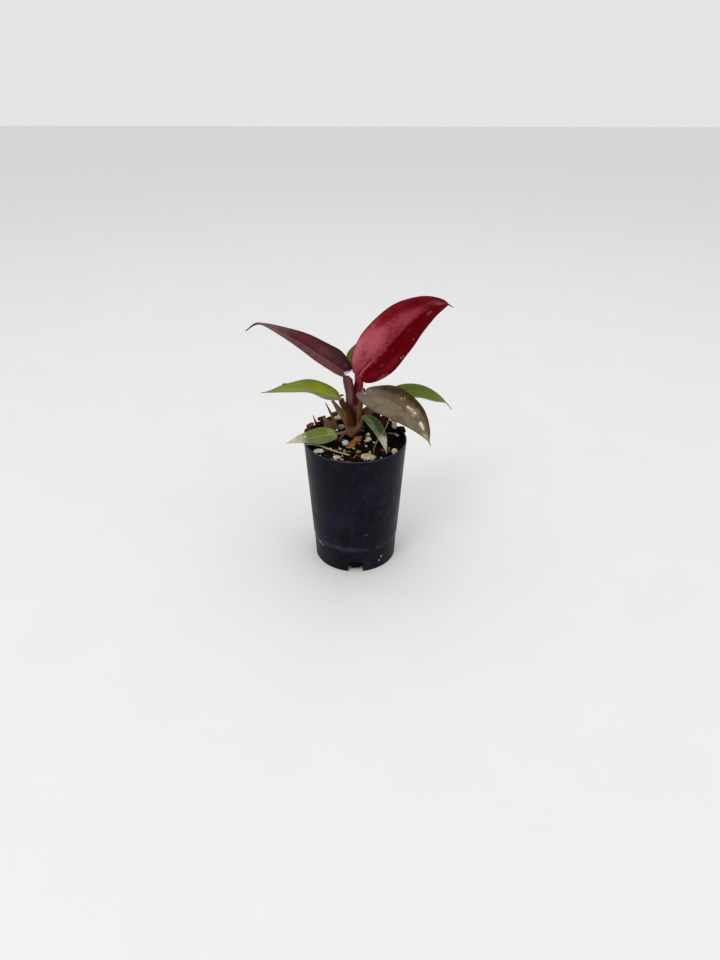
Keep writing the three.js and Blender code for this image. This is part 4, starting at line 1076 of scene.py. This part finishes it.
def scatter(draw, count, low, high, flatness, where, level=1, lift=0.35):
    """Crumbs strewn on the soil: points, faces, and a tone of its own for each crumb."""
    shape, triangles = ball(level)
    points, faces, tones = [], [], []
    placed = 0
    while placed < count:
        x, y = draw.uniform(-SOIL_EDGE, SOIL_EDGE, 2)
        size = low + (high - low) * draw.random() ** 2.2
        if math.hypot(x, y) > SOIL_EDGE - size * 0.7 or draw.random() > where(x, y):
            continue
        scale = size * np.array([1, draw.uniform(0.5, 1), draw.uniform(*flatness)])
        jag = 1 + 0.5 * (draw.random((len(shape), 1)) - 0.5)
        spin = Matrix.Rotation(draw.uniform(0, 6.3), 3, "Z")
        turn = np.array(spin @ Matrix.Rotation(draw.normal(0, 0.5), 3, "X"))
        spot = np.array([x, y, float(soil_height(x, y)) + lift * size])
        points.append((shape * jag * scale) @ turn.T + spot)
        faces.append(triangles + placed * len(shape))
        tones.append(np.tile(draw.random(2), (len(triangles) * 3, 1)))
        placed += 1
    return np.vstack(points), np.vstack(faces), {"tint": np.vstack(tones)}


def litter(draw, count, where):
    """Slivers of bark and dry leaf: bent, flattened strips that lie on the soil."""
    parts = []
    while len(parts) < count:
        x, y = draw.uniform(-SOIL_EDGE, SOIL_EDGE, 2)
        length, radius = draw.uniform(*SLIVER_LENGTHS), draw.uniform(*SLIVER_RADII)
        if math.hypot(x, y) > SOIL_EDGE - 0.4 * length or draw.random() > where(x, y):
            continue
        angle, slope, bend = draw.uniform(0, 6.3), draw.normal(0, SLIVER_SLOPE), draw.normal(0, 0.15)
        way = np.array([math.cos(angle), math.sin(angle), slope])
        aside = np.array([-way[1], way[0], 0.3])
        middle = np.array([x, y, float(soil_height(x, y)) + 0.6 + abs(slope) * length / 2])
        path = [middle - way * length / 2, middle + aside * bend * length, middle + way * length / 2]
        radii, flat = [0.4 * radius, radius, 0.3 * radius], draw.uniform(0.3, 0.8)
        spec = {"path": path, "radii": radii, "flat": flat, "facing": (0.2, 0.1, 1), "mesh": (6, 8, 0.2, 0.3)}
        points, faces, maps = stalk(spec)
        maps["tint"][...] = draw.random(2)
        parts.append((points, faces, maps))
    return merge(parts)


# A lump holds x, y, its three radii, how far its middle stands above the soil, a turn in degrees, and its
# darkest and lightest colours.
LUMPS = {
    "pumice_oval": (-24.6, -9.6, 3.7, 2.5, 1.7, 0.5, 10, (214, 196, 176), (250, 244, 236)),
    "pumice_front": (-12.2, -19, 2.8, 2.5, 1.6, 0.4, 0, (206, 168, 138), (246, 226, 200)),
    "pumice_centre": (-6.6, -0.8, 2.5, 2.3, 2.2, 0.6, 30, (176, 176, 150), (238, 234, 216)),
    "pumice_pair": (8.6, 4.4, 2.9, 2.3, 1.9, 0.7, 20, (214, 170, 112), (250, 232, 196)),
    "pumice_pair_small": (9, 10, 1.6, 1.5, 1.5, 0.6, 0, (206, 166, 116), (246, 226, 190)),
    "pumice_small": (-17.1, -7.1, 1.7, 1.4, 1.2, 0.4, 0, (200, 176, 130), (244, 230, 200)),
    "pumice_shard": (8.7, -18.6, 5.7, 4, 2.1, 0.5, -15, (150, 150, 96), (236, 206, 180)),
    "pumice_right": (26.6, -8.6, 2.3, 3, 2.5, 0.8, 0, (206, 176, 136), (250, 240, 220)),
    "pumice_back_right": (27.3, 14.8, 1.9, 1.9, 2.9, 2.3, 20, (176, 134, 88), (246, 230, 200)),
    "pumice_edge_right": (28.9, 9.3, 1.8, 1.4, 1.1, 0.5, 0, (196, 196, 184), (240, 240, 232)),
    "pumice_back_left": (-12.7, 25.6, 2.5, 2, 1.5, 0.9, 0, (190, 180, 150), (236, 230, 210)),
    "pumice_green": (-9.6, 18, 2.6, 2.2, 2, 0.8, 0, (120, 132, 90), (186, 192, 152)),
    "pumice_moss_front": (2.2, -11.2, 2.2, 2.2, 1.1, 0.5, 0, (70, 78, 20), (150, 152, 70)),
    "pumice_moss_left": (-5.6, -11.4, 3.2, 1.9, 1.1, 0.5, 12, (60, 62, 18), (132, 126, 50)),
}
# A chip holds x, y, length, width, thickness, rise above the soil, and turns about Z and Y in degrees.
CHIPS = {
    "bark_back_right": (19.6, 18.2, 8.5, 4.5, 4.5, 2, 50, 55),
    "bark_front_right": (20.4, -10.2, 6.6, 5, 2, 0.6, 20, 12),
    "bark_front_small": (12.7, -10.6, 4.2, 2.8, 1.6, 0.7, -30, 15),
    "bark_left": (-24.4, 12.4, 6, 4.2, 2.8, 1.2, 62, 14),
    "bark_back_left": (-20, 20.8, 6, 4, 2.4, 1.2, 45, -14),
    "bark_back": (-3.6, 26.8, 6.5, 4, 2.4, 1, 5, 10),
    "bark_rim_left": (-32.2, 6.2, 6, 4, 3.2, 6, 78, 4),
    "bark_rim_far_left": (-31, 13.9, 6, 3.6, 3.2, 2.8, 62, -4),
    "bark_rim_back_left": (-23.6, 24.2, 7.5, 3.8, 2.6, 1, 44, 6),
    "bark_rim_back": (-14.6, 30.6, 7, 3.6, 2.6, 1, 26, -5),
    "bark_rim_middle": (8.8, 31.7, 7.5, 3.6, 2.6, 1, -15, 5),
    "bark_rim_back_middle": (15.4, 28.9, 6, 3.8, 3, 1.4, -28, 5),
    "bark_rim_back_right": (21.8, 25.2, 6, 3.6, 2.8, 1.3, -42, 5),
    "bark_rim_far_right": (28.2, 20.4, 6, 3.4, 2.6, 1.5, -54, 4),
    "bark_rim_right": (32.6, 8.8, 7, 3.6, 2.4, 6.6, 107, -4),
}

# The colours, size, spread and roughness of the black mix's crumbs, and the tint of a stone
DARK_MIX = (5, 5, 5), (30, 22, 16), 0.9, 1.0, 0.9
STONE_TINT = 0.45


def one_tint(faces, tone):
    """The map that gives every corner of some triangles one tone."""
    return {"tint": np.full((len(faces) * 3, 2), tone)}


def pebble(place, radii, turn, seed):
    """A pitted round stone: points and triangles."""
    shape, faces = ball(5)
    swell = 1 + 0.12 * solid_noise(shape + 5, 0.8, seed) + 0.03 * solid_noise(shape + 9, 0.3, seed + 1)
    pits = 0.03 * np.maximum(0, solid_noise(shape + 3, 0.16, seed + 2) - 0.15)
    points = shape * (swell - pits)[:, None] * np.array(radii)
    return points @ np.array(Matrix.Rotation(math.radians(turn), 3, "Z")).T + np.array(place), faces


def chip(x, y, long, wide, thick, rise, turn, tilt):
    shape, faces = ball(5)
    corner = np.sign(shape) * np.abs(shape) ** 0.35
    corner = corner / np.abs(corner).max(0)
    seed = x - 2 * y
    lean, taper, wedge = 2 * hash_of(seed, np.arange(3)) - 1
    length, width, height = corner.T
    skewed_length = length * (1 - 0.25 * (1 + taper * width)) + 0.25 * lean * width
    skewed_width = width * (1 - 0.3 * (1 + wedge * length))
    skewed = np.stack([skewed_length, skewed_width, height], 1) * [1.3, 1.4, 1]
    flakes = np.floor(2.6 * height + 0.8 * solid_noise(corner * [2, 2, 0.4] + 4, 0.9, seed)) / 2.6
    rough = 0.12 * solid_noise(corner + 4, 0.7, seed) + 0.05 * solid_noise(corner + 2, 0.2, seed)
    swell = 1 + rough + 0.1 * flakes
    points = skewed * swell[:, None] * 0.46 * np.array([long, wide, thick])
    spin = Matrix.Rotation(math.radians(turn), 3, "Z") @ Matrix.Rotation(math.radians(tilt), 3, "Y")
    return points @ np.array(spin).T + np.array([x, y, float(soil_height(x, y)) + rise]), faces


def add_loose():
    """The stones and bark that show one by one, then the crumbs and slivers between them."""
    for node, spec in LUMPS.items():
        x, y, *radii, rise, turn, dark, light = spec
        points, faces = pebble((x, y, float(soil_height(x, y)) + rise), radii, turn, x + 3 * y)
        paint = grain_paint(node + "_stone", dark, light, 2.6, spread=0.0, rough=0.85, pits=0.7, dirt=0.4)
        name = node.replace("pumice", "stone")
        add_piece(name, points, faces, [paint], "pumice", (node,), one_tint(faces, STONE_TINT))
    bark_paint = grain_paint(
        "bark_skin", (40, 18, 13), (140, 84, 52), 1.6, spread=0.7, rough=0.85, dirt=0.6, stretch=(1, 1, 2.2))
    for node, spec in CHIPS.items():
        points, faces = chip(*spec)
        maps = {"tint": np.tile(hash_of(spec[0], np.array(spec[1:3])), (len(faces) * 3, 1))}
        add_piece("piece_" + node, points, faces, [bark_paint], "bark", (node,), maps)

    draw = np.random.default_rng(20)
    anywhere = lambda x, y: 1.0
    back_left = lambda x, y: 1.0 if x + 0.3 * y < -9 and y > -2 else 0.12
    dark = scatter(draw, 1700, 0.5, 1.9, (0.5, 0.9), anywhere)
    tan = scatter(draw, 120, 0.3, 1.1, (0.4, 0.8), anywhere, 1, 0.9)
    pale = scatter(draw, 70, 0.4, 1.3, (0.6, 0.9), anywhere, 2, 0.8)
    slivers = litter(draw, 110, back_left)
    for name, (points, faces, maps), slot, smooth, look in (
        ("crumbs_dark", dark, "potting_mix", False, DARK_MIX),
        ("crumbs_tan", tan, "bark", False, ((62, 40, 26), (158, 124, 82), 0.8, 1.2, 0.85)),
        ("grit_pale", pale, "pumice", True, ((176, 160, 130), (244, 236, 220), 0.8, 0.6, 0.85)),
        ("bark_slivers", slivers, "bark", True, ((54, 30, 18), (150, 104, 64), 1.2, 1.2, 0.85)),
    ):
        add_piece(name, points, faces, [grain_paint(name, *look)], slot, (), maps, smooth=smooth)


# The place, the three radii and the tone of each bit that lies in the front drain slot
DRAIN_BITS = [
    ((2.2, -25.6, 5.2), (1.7, 1.4, 1.3), 0.0),
    ((-1.3, -25.8, 5.6), (1.0, 1.0, 0.8), 1.0),
    ((4.0, -25.4, 3.8), (1.2, 1.2, 1.2), 0.1),
]
# The clump in a drain slot: its three radii and its place, for the slot that faces +X, and its tint
CLUMP_RADII = np.array([3.0, 6.2, 4.2])
CLUMP_PLACE = np.array([24.8, 0, 5.4])
CLUMP_TINT = 0.4


def add_drain_mix():
    """The mix that shows in the drain slots, held up by the pot's floor."""
    shape, triangles = ball(4)
    parts = []
    for i in range(DRAIN_COUNT):
        turn = Matrix.Rotation(i * 2 * math.pi / DRAIN_COUNT - math.pi / 2, 3, "Z")
        swell = 1 + 0.25 * solid_noise(shape + i, 0.5, i) + 0.15 * solid_noise(shape + i, 0.2, i + 9)
        clump = (shape * swell[:, None] * CLUMP_RADII + CLUMP_PLACE) @ np.array(turn).T
        parts.append((clump, triangles, one_tint(triangles, CLUMP_TINT)))
    points, faces, maps = merge(parts)
    add_piece("drain_mix", points, faces, [grain_paint("drain_mix", *DARK_MIX)], "potting_mix", (), maps)
    parts = []
    for place, radii, tone in DRAIN_BITS:
        points, faces = pebble(place, radii, 20, place[0])
        parts.append((points, faces, one_tint(faces, tone)))
    points, faces, maps = merge(parts)
    grit = grain_paint("drain_grit", (84, 34, 24), (206, 196, 184), 0.8, 2.0, 0.9)
    add_piece("drain_bits", points, faces, [grit], "pumice", (), maps)


# Pot: a tapered wall, a faint step low down, a raised floor and drain slots at the foot


def outer_radius(z):
    return FOOT_RADIUS + (RIM_RADIUS - FOOT_RADIUS) * z / POT_HEIGHT


def put_work(name, work):
    """A new object in the scene with the faces that were worked out, all facing outwards."""
    bmesh.ops.recalc_face_normals(work, faces=work.faces)
    mesh = bpy.data.meshes.new(name)
    work.to_mesh(mesh)
    work.free()
    return put(name, mesh)


def drain_cutter(turn):
    """A rounded arch that passes through the foot of the wall and under the floor's edge."""
    side, corner = DRAIN_WIDTH / 2 - 0.8, 2.0
    bend = np.radians(np.linspace(0, 90, 7))
    right = [(side - corner + corner * math.cos(a), DRAIN_HEIGHT - corner + corner * math.sin(a))
             for a in bend]
    arch = [(DRAIN_WIDTH / 2, -1)] + right + [(-x, z) for x, z in right[::-1]] + [(-DRAIN_WIDTH / 2, -1)]
    work = bmesh.new()
    near = [work.verts.new((x * MM, -(FOOT_RADIUS + 2) * MM, z * MM)) for x, z in arch]
    face = work.faces.new(near)
    grown = bmesh.ops.extrude_face_region(work, geom=[face])
    moved = [item for item in grown["geom"] if isinstance(item, bmesh.types.BMVert)]
    bmesh.ops.translate(work, verts=moved, vec=(0, 8 * MM, 0))
    bmesh.ops.rotate(work, verts=work.verts, matrix=Matrix.Rotation(turn, 3, "Z"))
    return put_work("cutter", work)


def add_pot():
    step_out, inner_step = outer_radius(STEP_HEIGHT), outer_radius(STEP_HEIGHT) - WALL
    lip = RIM_RADIUS - WALL / 2
    bead = [(lip + WALL / 2 * math.cos(a), POT_HEIGHT - WALL / 2 + WALL / 2 * math.sin(a))
            for a in np.radians([0, 30, 60, 90, 120, 150, 180])]
    heights = np.linspace(STEP_HEIGHT + 4, POT_HEIGHT - 3, 9)
    wall = [(outer_radius(z) + 0.02 * math.sin(z / 5), z) for z in heights]
    profile = [
        (0, FLOOR_BOTTOM), (FOOT_RADIUS - WALL - 1, FLOOR_BOTTOM), (FOOT_RADIUS - WALL, 0.2),
        (FOOT_RADIUS - WALL + 0.2, 0), (FOOT_RADIUS - 0.2, 0), (FOOT_RADIUS, 0.2),
        (step_out - STEP_DEPTH - 0.1, STEP_HEIGHT - STEP_DEPTH - 0.6),
        (step_out - STEP_DEPTH, STEP_HEIGHT - STEP_DEPTH),
        (step_out, STEP_HEIGHT), *wall, *bead,
        (inner_step, STEP_HEIGHT), (inner_step - STEP_DEPTH, STEP_HEIGHT - STEP_DEPTH),
        (FOOT_RADIUS - WALL - 1, FLOOR_TOP + 2), (FOOT_RADIUS - WALL - 3, FLOOR_TOP), (0, FLOOR_TOP),
    ]
    work = bmesh.new()
    verts = [work.verts.new((r * MM, 0, z * MM)) for r, z in profile]
    edges = [work.edges.new(pair) for pair in zip(verts, verts[1:])]
    bmesh.ops.spin(work, geom=verts + edges, cent=(0, 0, 0), axis=(0, 0, 1), angle=2 * math.pi,
                   steps=POT_SIDES, use_merge=True)
    bmesh.ops.remove_doubles(work, verts=work.verts, dist=0.01 * MM)
    pot = put_work("nursery_pot", work)
    cutters = [drain_cutter(i * 2 * math.pi / DRAIN_COUNT) for i in range(DRAIN_COUNT)]
    for cutter in cutters:
        cut = pot.modifiers.new("drain", "BOOLEAN")
        cut.operation, cut.solver, cut.object = "DIFFERENCE", "EXACT", cutter
    shaped = pot.evaluated_get(bpy.context.evaluated_depsgraph_get())
    pot.data = bpy.data.meshes.new_from_object(shaped)
    pot.modifiers.clear()
    for cutter in cutters:
        bpy.data.objects.remove(cutter)
    pot.data.polygons.foreach_set("use_smooth", [True] * len(pot.data.polygons))
    pot.data.set_sharp_from_angle(angle=math.radians(35))
    pot.data.materials.clear()
    pot.data.materials.append(pot_paint())
    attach(pot, "root")
    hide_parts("pot")


# Stage: the floor, the light and the camera


def add_stage():
    mesh = bpy.data.meshes.new("floor")
    reach = 6.0
    corners = [(-reach, -reach, 0), (reach, -reach, 0), (reach, reach, 0), (-reach, reach, 0)]
    mesh.from_pydata(corners, [], [(0, 1, 2, 3)])
    mesh.materials.append(floor_paint())
    floor = put("floor", mesh)
    world = bpy.data.worlds.new("studio")
    world.use_nodes = True
    world.node_tree.nodes["Background"].inputs["Color"].default_value = rgb(228, 229, 231)
    world.node_tree.nodes["Background"].inputs["Strength"].default_value = 1.0
    bpy.context.scene.world = world
    for name, place, size, power in (
        ("key", (-0.5, -0.75, 1.3), 0.5, 4.4),
        ("top", (0.15, 0.35, 1.5), 1.2, 2.4),
        ("fill", (0.9, -0.6, 0.7), 0.8, 0.8),
    ):
        light = bpy.data.lights.new(name, "AREA")
        light.size, light.energy = size, power
        lamp = put(name, light)
        lamp.location = place
        aim = Vector((0, 0, 0.11)) - Vector(place)
        lamp.rotation_euler = aim.to_track_quat("-Z", "Y").to_euler()
    bpy.context.scene.view_settings.view_transform = "Standard"


def add_camera():
    """A camera where the photograph was taken from, with its vertical field of view."""
    place = Vector((0, -401.8, 298.3)) * MM
    pitch, yaw, roll = 30.79, 0.47, 0.16
    data = bpy.data.cameras.new("camera")
    data.sensor_fit = "VERTICAL"
    data.sensor_height = 36.0
    data.lens = 24.8
    data.clip_start = 0.01
    camera = put("camera", data)
    turn = Matrix.Rotation(math.radians(-yaw), 4, "Z") @ Matrix.Rotation(math.radians(90 - pitch), 4, "X")
    camera.matrix_world = Matrix.Translation(place) @ turn @ Matrix.Rotation(math.radians(roll), 4, "Z")
    bpy.context.scene.camera = camera


add_stage()
add_camera()
add_pot()
add_soil()
add_loose()
add_drain_mix()
add_crown()
for leaf_name, leaf in LEAVES.items():
    add_leaf(leaf_name, leaf, LOOKS[leaf_name])
